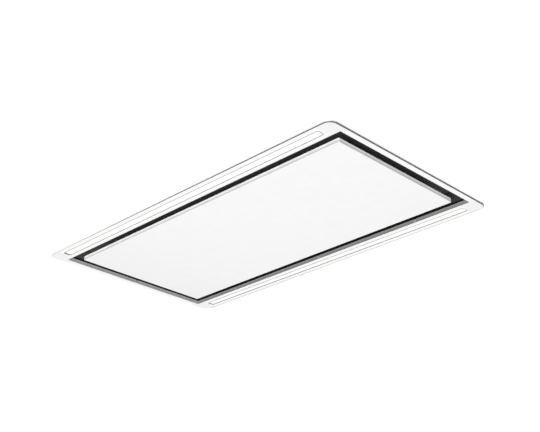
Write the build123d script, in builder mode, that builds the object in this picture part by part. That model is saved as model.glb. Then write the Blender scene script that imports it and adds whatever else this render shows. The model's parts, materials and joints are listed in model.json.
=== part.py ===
from build123d import *

import os

# Ceiling range hood: a white frame and panel that lie flat on a ceiling, with the casing and
# the blower above it. Millimetres. +X runs along the long side, +Z is up, and the front, where
# the cook stands, is -Y. The origin is the middle of the cut-out, in the plane of the ceiling.

os.makedirs("parts", exist_ok=True)

# Ceiling frame: one folded sheet, with a rim turned up, a lip round its opening, and a foam
# gasket that stands between the rim and the ceiling
frame_length = 1000
frame_width = 567
frame_corner = 22
frame_sheet = 1.5
frame_depth = 5
long_border = 50.5
short_border = 17.25
lip_height = 10
fold_radius = 1.2
frame_screw_count = 3
gasket_rise = 1.5
gasket_inset = 0.5

# Light strips in the two long sides of the frame
led_end_inset = 45.5
led_window_width = 21.7
led_window_corner = 5
led_edge_offset = 26.15
led_window_fillet = 0.5
diffuser_gap = 0.4
diffuser_recess = 0.8
diffuser_ledge = 0.75
diffuser_thickness = 2
channel_wall = 1.2
channel_height = 15.5
channel_overrun = 4
end_cap_thickness = 2
board_width = 19
board_thickness = 1.6
chip_size = 3
chip_height = 0.8
chip_pitch = 20

# Panel: a shallow white tray with a core and a back sheet, flush with the frame
slot_gap = 29.75
panel_corner = 3
panel_height = 10
panel_sheet = 1.5
panel_back_sheet = 1.2
panel_back_inset = 1.6

# Panel hinges and magnetic catches
pivot_inset = 18
pivot_rise = 18
hinge_end_inset = 73.5
hinge_pin_radius = 2.5
ear_thickness = 4
ear_radius = 6
cheek_thickness = 2.5
cheek_radius = 7
cheek_gap = 0.4
cheek_width = 20
pin_head_radius = 4
pin_head = 1.5
leaf_length = 28
leaf_width = 40
leaf_thickness = 2
catch_side_inset = 83
catch_end_inset = 45
catch_post_size = 14
catch_post_corner = 2
magnet_radius = 5.5
magnet_height = 4
strike_radius = 8
strike_thickness = 1

# Suction tray and its two grease filters
tray_height = 44
tray_sheet = 1
tray_flange_height = 12
filter_side_margin = 53
filter_end_margin = 65
filter_spacing = 17
filter_clearance = 1
filter_thickness = 12
filter_hang = 7
filter_sheet = 1
filter_border = 12
filter_tab_width = 30
filter_tab_reach = 7
filter_tab_spread = 200
mesh_sheet = 1.2
mesh_pitch_long = 24
mesh_pitch_short = 16
mesh_web = 4

# Filter latch: a sprung slider in a housing at the front of each filter
latch_housing_width = 44
latch_housing_length = 28
latch_wall = 2
latch_width = 30
latch_length = 14
latch_bolt = 1.6
latch_body = 6
latch_reach = 7
latch_travel = 6.5
latch_grip_width = 20
latch_grip_length = 6
latch_grip_drop = 5
latch_grip_corner = 2

# Casing above the ceiling
casing_inset = 10.5
casing_height = 125
casing_sheet = 1.2
casing_screws_long = 4
casing_screws_short = 2

# Blower: a single inlet wheel in a spiral housing, with the motor inside the wheel
wheel_radius = 100
wheel_blade_depth = 16
wheel_height = 92
wheel_sheet = 1.5
blade_count = 40
blade_thickness = 0.8
blade_lead = 6
blade_sag = 0.5
wheel_base_gap = 23
scroll_clearance = 12
scroll_step = 16
scroll_sheet = 1.2
scroll_height = 150
tongue_angle = 55
throat_reach = 192
throat_low = 30
inlet_throat = 76
inlet_curve = 16
inlet_flange = 12
inlet_gap = 2
inlet_sheet = 1.2

# Motor
motor_radius = 52
motor_sheet = 1.5
motor_floor = 2
motor_length = 70
motor_wheel_gap = 8.5
motor_floor_gap = 4.5
motor_flange_radius = 66
motor_bolt_circle = 58
motor_flange_drop = 5
stator_bore = 26
stator_length = 45
stator_slot = 9
stator_slots = 12
air_gap = 0.6
rotor_length = 35
shaft_radius = 4
bearing_radius = 11
bearing_length = 7
bearing_shell = 2.5
hub_radius = 12
hub_length = 15
isolator_radius = 8
isolator_count = 4
motor_vent_radius = 40
capacitor_radius = 16
capacitor_height = 62
capacitor_corner_gap = 9
tab_thickness = 0.8
tab_width = 6

# Motor box, duct collar and its two non-return flaps
box_clearance = 14
box_headroom = 20
box_sheet = 1.2
box_foot = 12
box_screws_long = 3
box_screws_short = 2
spigot_radius = 75
spigot_wall = 1.5
spigot_length = 62
collar_flange = 8
collar_plate = 1.5
flap_setback = 28
flap_thickness = 1.2
flap_rim_gap = 0.9
flap_pin_radius = 2.5
knuckle_radius = 4.5
knuckle_gap = 0.7
knuckle_count = 6
stop_height = 3.5
stop_thickness = 1.5
stop_gap = 0.3

# Electrics: a box on the casing's top
control_length = 180
control_width = 120
control_height = 48
control_wall = 2
control_cover_sheet = 2
control_gap = 40
control_standoff = 6
circuit_length = 96
circuit_width = 100
driver_length = 40
driver_width = 96
driver_height = 28
gland_radius = 11
gland_bore = 5
gland_length = 22
gland_height = 32
gland_thread = 9
gland_nut = 6
control_margin = 4
control_corner = 6
control_screw_inset = 12
terminal_length = 20
terminal_pitch = 9
terminal_ways = 4
terminal_height = 16
transformer_length = 34
transformer_width = 28
transformer_height = 24
relay_length = 18
relay_width = 14
relay_height = 15
buffer_radius = 5

# Hangers for the four threaded rods
hanger_width = 50
hanger_depth = 40
hanger_height = 45
hanger_sheet = 2.5
hanger_hole = 4.5
hanger_inset_long = 49.5
hanger_inset_short = 53
hanger_screw_spread = 30

# Screws
screw_radius = 2
screw_head_radius = 3.6
screw_head = 1.6
screw_grip = 2.4

# Clearances: faces that face each other, a running fit and a fixed fit
face_gap = 0.3
running_fit = 0.05
fixed_fit = 0.02

# Levels and outlines that the pieces share
face_z = -frame_depth
sheet_z = face_z + frame_sheet
opening_length = frame_length - 2 * short_border
opening_width = frame_width - 2 * long_border
led_window_length = frame_length - 2 * led_end_inset
panel_length = opening_length - 2 * slot_gap
panel_width = opening_width - 2 * slot_gap
skirt_length = opening_length + 2 * frame_sheet + 2 * face_gap
skirt_width = opening_width + 2 * frame_sheet + 2 * face_gap
casing_length = frame_length - 2 * casing_inset
casing_width = frame_width - 2 * casing_inset
casing_inner_length = casing_length - 2 * casing_sheet
casing_inner_width = casing_width - 2 * casing_sheet
tray_top = tray_height + tray_sheet
scroll_half = scroll_step / 2
scroll_first = wheel_radius + scroll_clearance
scroll_top = casing_height + scroll_height
throat_high = scroll_half + scroll_first + 3 * scroll_step
throat_exit = throat_reach - face_gap - scroll_sheet


def ring_of(outer_length, outer_width, wall):
    """A rectangular ring of one wall thickness, drawn in the current sketch."""
    Rectangle(outer_length, outer_width)
    Rectangle(outer_length - 2 * wall, outer_width - 2 * wall, mode=Mode.SUBTRACT)


def screw_row(length, count):
    """Even places for a count of screws along a side, half a step from its ends."""
    step = length / count
    return [(index + 0.5) * step - length / 2 for index in range(count)]


def facing_y(side, distance):
    """The upright plane at a distance along Y that faces outward on that side."""
    return Plane(origin=(0, side * distance, 0), x_dir=(-side, 0, 0), z_dir=(0, side, 0))


def facing_x(side, distance):
    """The upright plane at a distance along X that faces outward on that side."""
    return Plane(origin=(side * distance, 0, 0), x_dir=(0, side, 0), z_dir=(side, 0, 0))


def screws_on(seat, places, length):
    """Screws of the current part, their heads on the seat plane and their shanks behind it."""
    with BuildSketch(seat) as heads:
        with Locations(*places):
            Circle(screw_head_radius)
    extrude(heads.sketch, amount=screw_head)
    with BuildSketch(seat) as shanks:
        with Locations(*places):
            Circle(screw_radius)
    extrude(shanks.sketch, amount=-length)


def screw_holes(seat, places, depth):
    """Clearance holes for such screws, cut from the current part behind the seat plane."""
    with BuildSketch(seat) as holes:
        with Locations(*places):
            Circle(screw_radius + running_fit)
    extrude(holes.sketch, amount=-depth, mode=Mode.SUBTRACT)


# ---------------------------------------------------------------- ceiling frame
frame_screw_z = sheet_z + (lip_height - frame_sheet) / 2
frame_screw_row = [(x, frame_screw_z) for x in screw_row(opening_length, frame_screw_count)]
frame_screw_end = [(0, frame_screw_z)]

with BuildPart() as ceiling_frame:
    with BuildSketch(Plane.XY.offset(face_z)):
        RectangleRounded(frame_length, frame_width, frame_corner)
        Rectangle(opening_length, opening_width, mode=Mode.SUBTRACT)
    extrude(amount=frame_sheet)
    with BuildSketch(Plane.XY.offset(face_z)):
        RectangleRounded(frame_length, frame_width, frame_corner)
        offset(amount=-frame_sheet, mode=Mode.SUBTRACT)
    extrude(amount=frame_depth - gasket_rise)
    with BuildSketch(Plane.XY.offset(face_z)):
        ring_of(opening_length + 2 * frame_sheet, opening_width + 2 * frame_sheet, frame_sheet)
    extrude(amount=lip_height)
    fillet(ceiling_frame.edges().group_by(Axis.Z)[0], fold_radius)
    with BuildSketch(Plane.XY.offset(face_z)):
        with GridLocations(0, frame_width - 2 * led_edge_offset, 1, 2):
            RectangleRounded(led_window_length, led_window_width, led_window_corner)
    extrude(amount=frame_sheet, mode=Mode.SUBTRACT)
    face_wires = ceiling_frame.faces().sort_by(Axis.Z)[0].inner_wires()
    fillet(face_wires.sort_by(SortBy.LENGTH)[:2].edges(), led_window_fillet)
    for side in (-1, 1):
        screw_holes(facing_y(side, opening_width / 2 + frame_sheet), frame_screw_row, frame_sheet)
        screw_holes(facing_x(side, opening_length / 2 + frame_sheet), frame_screw_end, frame_sheet)
ceiling_frame.part.label = "ceiling_frame"
export_step(ceiling_frame.part, "parts/ceiling_frame.step")

with BuildPart() as frame_gasket:
    with BuildSketch(Plane.XY.offset(sheet_z)):
        RectangleRounded(frame_length, frame_width, frame_corner)
        offset(amount=-frame_sheet - face_gap, mode=Mode.REPLACE)
        Rectangle(casing_length + 2 * face_gap, casing_width + 2 * face_gap, mode=Mode.SUBTRACT)
    extrude(amount=frame_depth - frame_sheet)
    with BuildSketch(Plane.XY.offset(-gasket_rise)):
        RectangleRounded(frame_length, frame_width, frame_corner)
        offset(amount=-gasket_inset, mode=Mode.REPLACE)
        Rectangle(casing_length + 2 * face_gap, casing_width + 2 * face_gap, mode=Mode.SUBTRACT)
    extrude(amount=gasket_rise)
frame_gasket.part.label = "frame_gasket"
export_step(frame_gasket.part, "parts/frame_gasket.step")

frame_screw_length = frame_sheet + face_gap + tray_sheet + screw_grip
with BuildPart() as frame_screws:
    for side in (-1, 1):
        screws_on(facing_y(side, -opening_width / 2), frame_screw_row, frame_screw_length)
        screws_on(facing_x(side, -opening_length / 2), frame_screw_end, frame_screw_length)
frame_screws.part.label = "frame_screws"
export_step(frame_screws.part, "parts/frame_screws.step")

with BuildPart() as frame_nuts:
    for side in (-1, 1):
        with BuildSketch(facing_y(side, skirt_width / 2 + tray_sheet)):
            with Locations(*frame_screw_row):
                Circle(screw_head_radius)
                Circle(screw_radius + fixed_fit, mode=Mode.SUBTRACT)
        extrude(amount=screw_grip)
        with BuildSketch(facing_x(side, skirt_length / 2 + tray_sheet)):
            with Locations(*frame_screw_end):
                Circle(screw_head_radius)
                Circle(screw_radius + fixed_fit, mode=Mode.SUBTRACT)
        extrude(amount=screw_grip)
frame_nuts.part.label = "frame_nuts"
export_step(frame_nuts.part, "parts/frame_nuts.step")

# ---------------------------------------------------------------- light strips
led_y = frame_width / 2 - led_edge_offset
base_width = led_window_width + 2 * diffuser_ledge
channel_width = base_width + 2 * diffuser_gap + 2 * channel_wall
channel_length = led_window_length + 2 * channel_overrun
channel_top = sheet_z + channel_height
board_z = channel_top - channel_wall - board_thickness
board_length = led_window_length - 2 * led_window_corner
chips_in_row = int(board_length // chip_pitch)

for side, place in ((-1, "front"), (1, "rear")):
    with BuildPart() as led_diffuser:
        with BuildSketch(Plane.XY.offset(sheet_z)):
            with Locations((0, side * led_y)):
                Rectangle(led_window_length + 2 * diffuser_ledge, base_width)
        extrude(amount=diffuser_thickness)
        with BuildSketch(Plane.XY.offset(face_z + diffuser_recess)):
            with Locations((0, side * led_y)):
                RectangleRounded(
                    led_window_length - 2 * diffuser_gap,
                    led_window_width - 2 * diffuser_gap,
                    led_window_corner - diffuser_gap,
                )
        extrude(amount=frame_sheet - diffuser_recess)
    led_diffuser.part.label = f"led_diffuser_{place}"
    export_step(led_diffuser.part, f"parts/led_diffuser_{place}.step")

    with BuildPart() as led_channel:
        with BuildSketch(Plane.XY.offset(sheet_z)):
            with Locations((0, side * led_y)):
                Rectangle(channel_length, channel_width)
        extrude(amount=channel_height)
        with BuildSketch(Plane.XY.offset(sheet_z)):
            with Locations((0, side * led_y)):
                Rectangle(channel_length, channel_width - 2 * channel_wall)
        extrude(amount=channel_height - channel_wall, mode=Mode.SUBTRACT)
    led_channel.part.label = f"led_channel_{place}"
    export_step(led_channel.part, f"parts/led_channel_{place}.step")

    with BuildPart() as led_board:
        with BuildSketch(Plane.XY.offset(board_z)):
            with Locations((0, side * led_y)):
                Rectangle(board_length, board_width)
        extrude(amount=board_thickness)
    led_board.part.label = f"led_board_{place}"
    export_step(led_board.part, f"parts/led_board_{place}.step")

with BuildPart() as led_chips:
    with BuildSketch(Plane.XY.offset(board_z - chip_height)):
        with GridLocations(chip_pitch, 2 * led_y, chips_in_row, 2):
            Rectangle(chip_size, chip_size)
    extrude(amount=chip_height)
led_chips.part.label = "led_chips"
export_step(led_chips.part, "parts/led_chips.step")

with BuildPart() as channel_end_caps:
    with BuildSketch(Plane.XY.offset(sheet_z)):
        with GridLocations(channel_length + end_cap_thickness, 2 * led_y, 2, 2):
            Rectangle(end_cap_thickness, channel_width)
    extrude(amount=channel_height)
channel_end_caps.part.label = "channel_end_caps"
export_step(channel_end_caps.part, "parts/channel_end_caps.step")

# ---------------------------------------------------------------- panel
panel_back_z = face_z + panel_height - panel_back_inset - panel_back_sheet
panel_back_top = panel_back_z + panel_back_sheet
panel_inner_length = panel_length - 2 * panel_sheet
panel_inner_width = panel_width - 2 * panel_sheet

with BuildPart() as panel_face:
    with BuildSketch(Plane.XY.offset(face_z)):
        RectangleRounded(panel_length, panel_width, panel_corner)
    extrude(amount=panel_height)
    with BuildSketch(Plane.XY.offset(face_z + panel_sheet)):
        RectangleRounded(panel_inner_length, panel_inner_width, panel_corner - panel_sheet)
    extrude(amount=panel_height - panel_sheet, mode=Mode.SUBTRACT)
    fillet(panel_face.edges().group_by(Axis.Z)[0], fold_radius)
panel_face.part.label = "panel_face"
export_step(panel_face.part, "parts/panel_face.step")

with BuildPart() as panel_core:
    with BuildSketch(Plane.XY.offset(face_z + panel_sheet)):
        RectangleRounded(panel_inner_length, panel_inner_width, panel_corner - panel_sheet)
        offset(amount=-face_gap, mode=Mode.REPLACE)
    extrude(amount=panel_back_z - face_z - panel_sheet)
panel_core.part.label = "panel_core"
export_step(panel_core.part, "parts/panel_core.step")

with BuildPart() as panel_back:
    with BuildSketch(Plane.XY.offset(panel_back_z)):
        RectangleRounded(panel_inner_length, panel_inner_width, panel_corner - panel_sheet)
        offset(amount=-face_gap, mode=Mode.REPLACE)
    extrude(amount=panel_back_sheet)
panel_back.part.label = "panel_back"
export_step(panel_back.part, "parts/panel_back.step")

# ---------------------------------------------------------------- panel hinges
pivot_y = panel_width / 2 - pivot_inset
pivot_z = face_z + pivot_rise
hinge_x = panel_length / 2 - hinge_end_inset
leaf_near = pivot_y - 2 * ear_radius
cheek_inner = ear_thickness / 2 + cheek_gap
cheek_outer = cheek_inner + cheek_thickness
cheek_y = pivot_y + ear_radius - cheek_width / 2
pin_end = cheek_outer + cheek_gap

for side, place in ((-1, "left"), (1, "right")):
    middle = side * hinge_x
    with BuildPart() as panel_hinge:
        with BuildSketch(Plane.XY.offset(panel_back_top)):
            with Locations((middle, leaf_near - leaf_length / 2)):
                Rectangle(leaf_width, leaf_length)
        extrude(amount=leaf_thickness)
        with BuildSketch(Plane.YZ.offset(middle)):
            with BuildLine():
                Polyline(
                    (leaf_near - leaf_length + leaf_thickness, panel_back_top),
                    (leaf_near, panel_back_top),
                    (pivot_y, pivot_z - ear_radius),
                    (pivot_y, pivot_z + ear_radius),
                    close=True,
                )
            make_face()
            with Locations((pivot_y, pivot_z)):
                Circle(ear_radius)
                Circle(hinge_pin_radius + running_fit, mode=Mode.SUBTRACT)
        extrude(amount=ear_thickness / 2, both=True)
    panel_hinge.part.label = f"panel_hinge_{place}"
    export_step(panel_hinge.part, f"parts/panel_hinge_{place}.step")

    with BuildPart() as hinge_bracket:
        for cheek in (-1, 1):
            with BuildSketch(Plane.YZ.offset(middle + cheek * (cheek_inner + cheek_outer) / 2)):
                with Locations((cheek_y, (pivot_z + tray_height) / 2)):
                    Rectangle(cheek_width, tray_height - pivot_z)
                with Locations((pivot_y, pivot_z)):
                    Circle(cheek_radius)
                    Circle(hinge_pin_radius + fixed_fit, mode=Mode.SUBTRACT)
            extrude(amount=cheek_thickness / 2, both=True)
        with BuildSketch(Plane.XY.offset(tray_height)):
            with Locations((middle, cheek_y)):
                Rectangle(leaf_width, cheek_width)
        extrude(amount=-cheek_thickness)
    hinge_bracket.part.label = f"hinge_bracket_{place}"
    export_step(hinge_bracket.part, f"parts/hinge_bracket_{place}.step")

with BuildPart() as hinge_pins:
    for side in (-1, 1):
        with BuildSketch(Plane.YZ.offset(side * hinge_x)):
            with Locations((pivot_y, pivot_z)):
                Circle(hinge_pin_radius)
        extrude(amount=pin_end, both=True)
        with BuildSketch(Plane.YZ.offset(side * hinge_x + pin_end)):
            with Locations((pivot_y, pivot_z)):
                Circle(pin_head_radius)
        extrude(amount=pin_head)
hinge_pins.part.label = "hinge_pins"
export_step(hinge_pins.part, "parts/hinge_pins.step")

# ---------------------------------------------------------------- magnetic catches
catch_x = panel_length / 2 - catch_end_inset
catch_y = catch_side_inset - panel_width / 2
strike_top = panel_back_top + strike_thickness
magnet_z = strike_top + face_gap
post_z = magnet_z + face_gap

with BuildPart() as strike_plates:
    with BuildSketch(Plane.XY.offset(panel_back_top)):
        with Locations((-catch_x, catch_y), (catch_x, catch_y)):
            Circle(strike_radius)
    extrude(amount=strike_thickness)
strike_plates.part.label = "strike_plates"
export_step(strike_plates.part, "parts/strike_plates.step")

with BuildPart() as catch_magnets:
    with BuildSketch(Plane.XY.offset(magnet_z)):
        with Locations((-catch_x, catch_y), (catch_x, catch_y)):
            Circle(magnet_radius)
    extrude(amount=magnet_height)
catch_magnets.part.label = "catch_magnets"
export_step(catch_magnets.part, "parts/catch_magnets.step")

with BuildPart() as catch_posts:
    with BuildSketch(Plane.XY.offset(post_z)):
        with Locations((-catch_x, catch_y), (catch_x, catch_y)):
            RectangleRounded(catch_post_size, catch_post_size, catch_post_corner)
    extrude(amount=tray_height - post_z)
    with BuildSketch(Plane.XY.offset(post_z)):
        with Locations((-catch_x, catch_y), (catch_x, catch_y)):
            Circle(magnet_radius + fixed_fit)
    extrude(amount=magnet_height - face_gap, mode=Mode.SUBTRACT)
catch_posts.part.label = "catch_posts"
export_step(catch_posts.part, "parts/catch_posts.step")

# ---------------------------------------------------------------- suction tray
filter_length = (panel_length - 2 * filter_end_margin - filter_spacing) / 2
filter_width = panel_width - 2 * filter_side_margin
filter_x = (filter_length + filter_spacing) / 2
filter_low = tray_height - filter_hang
filter_top = filter_low + filter_thickness
casing_screw_z = tray_top + tray_flange_height / 2
casing_screw_row = [(x, casing_screw_z) for x in screw_row(casing_length, casing_screws_long)]
casing_screw_end = [(y, casing_screw_z) for y in screw_row(casing_width, casing_screws_short)]
tray_length = casing_inner_length - 2 * face_gap
tray_width = casing_inner_width - 2 * face_gap

with BuildPart() as suction_tray:
    with BuildSketch(Plane.XY.offset(tray_height)):
        Rectangle(tray_length, tray_width)
        with GridLocations(2 * filter_x, 0, 2, 1):
            Rectangle(
                filter_length + 2 * filter_clearance,
                filter_width + 2 * filter_clearance,
                mode=Mode.SUBTRACT,
            )
    extrude(amount=tray_sheet)
    with BuildSketch(Plane.XY.offset(tray_height)):
        ring_of(tray_length, tray_width, tray_sheet)
    extrude(amount=tray_sheet + tray_flange_height)
    with BuildSketch(Plane.XY.offset(sheet_z + face_gap)):
        ring_of(skirt_length + 2 * tray_sheet, skirt_width + 2 * tray_sheet, tray_sheet)
    extrude(amount=tray_height - sheet_z - face_gap)
    for side in (-1, 1):
        screw_holes(facing_y(side, skirt_width / 2 + tray_sheet), frame_screw_row, tray_sheet)
        screw_holes(facing_x(side, skirt_length / 2 + tray_sheet), frame_screw_end, tray_sheet)
        screw_holes(facing_y(side, tray_width / 2), casing_screw_row, tray_sheet)
        screw_holes(facing_x(side, tray_length / 2), casing_screw_end, tray_sheet)
suction_tray.part.label = "suction_tray"
export_step(suction_tray.part, "parts/suction_tray.step")

# ---------------------------------------------------------------- grease filters and latches
filter_front = -filter_width / 2
bolt_low = tray_top + face_gap
bolt_top = bolt_low + latch_bolt
slider_low = bolt_top - latch_body
slider_front = filter_front + latch_wall + face_gap
slider_y = slider_front + latch_length / 2
cavity_length = latch_housing_length - 2 * latch_wall
mesh_rows = int((filter_width - 2 * filter_border) // mesh_pitch_short)
mesh_columns = int((filter_length - 2 * filter_border) // mesh_pitch_long)
mesh_half_long = (mesh_pitch_long - mesh_web) / 2
mesh_half_short = (mesh_pitch_short - mesh_web) / 2

for side, place in ((-1, "left"), (1, "right")):
    middle = side * filter_x
    with BuildPart() as filter_frame:
        with BuildSketch(Plane.XY.offset(filter_low)):
            with Locations((middle, 0)):
                ring_of(filter_length, filter_width, filter_border)
        extrude(amount=filter_thickness)
        with BuildSketch(Plane.XY.offset(filter_low + filter_sheet)):
            with Locations((middle, 0)):
                Rectangle(filter_length - 2 * filter_sheet, filter_width - 2 * filter_sheet)
        extrude(amount=filter_thickness - 2 * filter_sheet, mode=Mode.SUBTRACT)
        with BuildSketch(Plane.XY.offset(filter_low)):
            with Locations((middle, filter_front + latch_housing_length / 2)):
                Rectangle(latch_housing_width, latch_housing_length)
        extrude(amount=filter_thickness)
        with BuildSketch(Plane.XY.offset(slider_low - face_gap)):
            with Locations((middle, filter_front + latch_housing_length / 2)):
                Rectangle(latch_width + 2 * face_gap, cavity_length)
        extrude(amount=latch_body + 2 * face_gap, mode=Mode.SUBTRACT)
        with BuildSketch(Plane.XY.offset(tray_top)):
            with Locations((middle, filter_front + latch_wall)):
                Rectangle(latch_width + 2 * face_gap, 2 * latch_wall)
        extrude(amount=latch_bolt + 2 * face_gap, mode=Mode.SUBTRACT)
        with BuildSketch(Plane.XY.offset(filter_low)):
            with Locations((middle, slider_y + latch_travel / 2)):
                Rectangle(
                    latch_grip_width + 2 * face_gap,
                    latch_grip_length + latch_travel + 2 * face_gap,
                )
        extrude(amount=slider_low - filter_low, mode=Mode.SUBTRACT)
        with BuildSketch(Plane.XY.offset(tray_top + face_gap)):
            with Locations((middle, filter_width / 2 + filter_tab_reach / 2)):
                with GridLocations(filter_tab_spread, 0, 2, 1):
                    Rectangle(filter_tab_width, filter_tab_reach + filter_sheet)
        extrude(amount=filter_sheet)
    filter_frame.part.label = f"filter_frame_{place}"
    export_step(filter_frame.part, f"parts/filter_frame_{place}.step")

    with BuildPart() as filter_mesh:
        with BuildSketch(Plane.XY.offset(filter_low + filter_sheet)):
            with Locations((middle, 0)):
                Rectangle(
                    filter_length - 2 * filter_sheet - 2 * face_gap,
                    filter_width - 2 * filter_sheet - 2 * face_gap,
                )
            with Locations((middle, filter_front + latch_housing_length / 2)):
                Rectangle(
                    latch_housing_width + 2 * face_gap,
                    latch_housing_length + 2 * face_gap,
                    mode=Mode.SUBTRACT,
                )
        extrude(amount=filter_thickness - 2 * filter_sheet)
        for level, depth in (
            (filter_low + filter_sheet, mesh_sheet),
            (filter_top - filter_sheet, -mesh_sheet),
        ):
            with BuildSketch(Plane.XY.offset(level)):
                with Locations((middle, 0)):
                    with GridLocations(mesh_pitch_long, mesh_pitch_short, mesh_columns, mesh_rows):
                        Polygon(
                            (-mesh_half_long, 0),
                            (0, -mesh_half_short),
                            (mesh_half_long, 0),
                            (0, mesh_half_short),
                        )
            extrude(amount=depth, mode=Mode.SUBTRACT)
    filter_mesh.part.label = f"filter_mesh_{place}"
    export_step(filter_mesh.part, f"parts/filter_mesh_{place}.step")

    with BuildPart() as filter_latch:
        with BuildSketch(Plane.XY.offset(slider_low)):
            with Locations((middle, slider_y)):
                Rectangle(latch_width, latch_length)
        extrude(amount=latch_body)
        with BuildSketch(Plane.XY.offset(bolt_low)):
            with Locations((middle, (filter_front - latch_reach + slider_y) / 2)):
                Rectangle(latch_width, slider_y - filter_front + latch_reach)
        extrude(amount=latch_bolt)
        with BuildSketch(Plane.XY.offset(slider_low)):
            with Locations((middle, slider_y)):
                RectangleRounded(latch_grip_width, latch_grip_length, latch_grip_corner)
        extrude(amount=filter_low - latch_grip_drop - slider_low)
    filter_latch.part.label = f"filter_latch_{place}"
    export_step(filter_latch.part, f"parts/filter_latch_{place}.step")

# ---------------------------------------------------------------- what stands on the casing
casing_top_plane = Plane.XY.offset(casing_height)
box_left = -scroll_half - scroll_first - 2 * scroll_step - scroll_sheet - box_clearance
box_front = -scroll_half - scroll_first - scroll_step - scroll_sheet - box_clearance
box_rear = throat_high + scroll_sheet + box_clearance
box_right = throat_reach
box_length = box_right - box_left
box_width = box_rear - box_front
box_x = (box_right + box_left) / 2
box_y = (box_rear + box_front) / 2
box_foot_middle = box_sheet + box_foot / 2
box_screw_places = [
    (box_x + x, box_y + side * (box_width / 2 + box_foot_middle))
    for x in screw_row(box_length, box_screws_long)
    for side in (-1, 1)
] + [
    (box_x + side * (box_length / 2 + box_foot_middle), box_y + y)
    for y in screw_row(box_width, box_screws_short)
    for side in (-1, 1)
]
control_x = box_left - box_sheet - box_foot - control_gap - control_length / 2
control_screw_reach = control_length / 2 - control_screw_inset
control_screw_places = [(control_x + side * control_screw_reach, 0) for side in (-1, 1)]
hanger_x = casing_length / 2 - hanger_inset_long
hanger_y = casing_width / 2 - hanger_inset_short
hanger_screw_places = [
    (side_x * hanger_x, side_y * hanger_y + along)
    for side_x in (-1, 1)
    for side_y in (-1, 1)
    for along in (-hanger_screw_spread / 2, hanger_screw_spread / 2)
]
casing_screw_length = casing_sheet + face_gap + tray_sheet + screw_grip

# ---------------------------------------------------------------- casing
inlet_hole = inlet_throat + inlet_curve + inlet_sheet
casing_low = sheet_z + face_gap

with BuildPart() as casing_body:
    with BuildSketch(Plane.XY.offset(casing_low)):
        ring_of(casing_length, casing_width, casing_sheet)
    extrude(amount=casing_height - casing_low)
    with BuildSketch(Plane.XY.offset(casing_height)):
        Rectangle(casing_length, casing_width)
        Circle(inlet_hole, mode=Mode.SUBTRACT)
    extrude(amount=-casing_sheet)
    for side in (-1, 1):
        screw_holes(facing_y(side, casing_width / 2), casing_screw_row, casing_sheet)
        screw_holes(facing_x(side, casing_length / 2), casing_screw_end, casing_sheet)
    screw_holes(casing_top_plane, box_screw_places, casing_sheet)
    screw_holes(casing_top_plane, hanger_screw_places, casing_sheet)
    screw_holes(casing_top_plane, control_screw_places, casing_sheet)
casing_body.part.label = "casing_body"
export_step(casing_body.part, "parts/casing_body.step")

# ---------------------------------------------------------------- blower housing
wheel_low = casing_height + wheel_base_gap
wheel_top = wheel_low + wheel_height

inlet_low = casing_height - casing_sheet - inlet_sheet
inlet_top = wheel_low - inlet_gap
curve_r = inlet_throat + inlet_curve
curve_z = inlet_low + inlet_curve

with BuildPart() as inlet_ring:
    with BuildSketch(Plane.XZ):
        with BuildLine():
            Line((inlet_hole + inlet_flange, inlet_low), (curve_r, inlet_low))
            CenterArc((curve_r, curve_z), inlet_curve, 270, -90)
            Polyline(
                (inlet_throat, curve_z),
                (inlet_throat, inlet_top),
                (inlet_throat + inlet_sheet, inlet_top),
                (inlet_throat + inlet_sheet, curve_z),
            )
            CenterArc((curve_r, curve_z), inlet_curve - inlet_sheet, 180, 90)
            Polyline(
                (curve_r, inlet_low + inlet_sheet),
                (inlet_hole + inlet_flange, inlet_low + inlet_sheet),
                (inlet_hole + inlet_flange, inlet_low),
            )
        make_face()
    revolve(axis=Axis.Z)
inlet_ring.part.label = "inlet_ring"
export_step(inlet_ring.part, "parts/inlet_ring.step")


def spiral_outline(exit_x):
    """The inside of the spiral housing, as a face in the current sketch."""
    with BuildLine() as outline:
        tongue = CenterArc((scroll_half, -scroll_half), scroll_first, tongue_angle, -tongue_angle)
        CenterArc((-scroll_half, -scroll_half), scroll_first + scroll_step, 0, -90)
        CenterArc((-scroll_half, scroll_half), scroll_first + 2 * scroll_step, 270, -90)
        CenterArc((scroll_half, scroll_half), scroll_first + 3 * scroll_step, 180, -90)
        Polyline(
            (scroll_half, throat_high),
            (exit_x, throat_high),
            (exit_x, throat_low),
            tongue @ 0,
        )
    make_face(outline.edges())


with BuildPart() as scroll_housing:
    with BuildSketch(casing_top_plane):
        spiral_outline(throat_exit)
        offset(amount=scroll_sheet)
    extrude(amount=scroll_height)
    with BuildSketch(casing_top_plane.offset(scroll_sheet)):
        spiral_outline(throat_exit + scroll_sheet)
    extrude(amount=scroll_height - scroll_sheet, mode=Mode.SUBTRACT)
    with BuildSketch(casing_top_plane):
        Circle(inlet_hole)
    extrude(amount=scroll_sheet, mode=Mode.SUBTRACT)
scroll_housing.part.label = "scroll_housing"
export_step(scroll_housing.part, "parts/scroll_housing.step")

with BuildPart() as scroll_cover:
    with BuildSketch(Plane.XY.offset(scroll_top)):
        spiral_outline(throat_exit)
        offset(amount=scroll_sheet)
        Circle(motor_vent_radius, mode=Mode.SUBTRACT)
        with PolarLocations(motor_bolt_circle, isolator_count):
            Circle(screw_radius + running_fit, mode=Mode.SUBTRACT)
    extrude(amount=scroll_sheet)
scroll_cover.part.label = "scroll_cover"
export_step(scroll_cover.part, "parts/scroll_cover.step")

# ---------------------------------------------------------------- motor
motor_top = scroll_top - motor_flange_drop
motor_low = motor_top - motor_floor - motor_length
motor_inner = motor_radius - motor_sheet
cap_low = motor_top - motor_floor
lower_bearing_z = motor_low + motor_floor
upper_bearing_z = cap_low - bearing_length
core_middle = (lower_bearing_z + cap_low) / 2
shell_bore = bearing_radius + fixed_fit
shell_radius = shell_bore + bearing_shell

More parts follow.
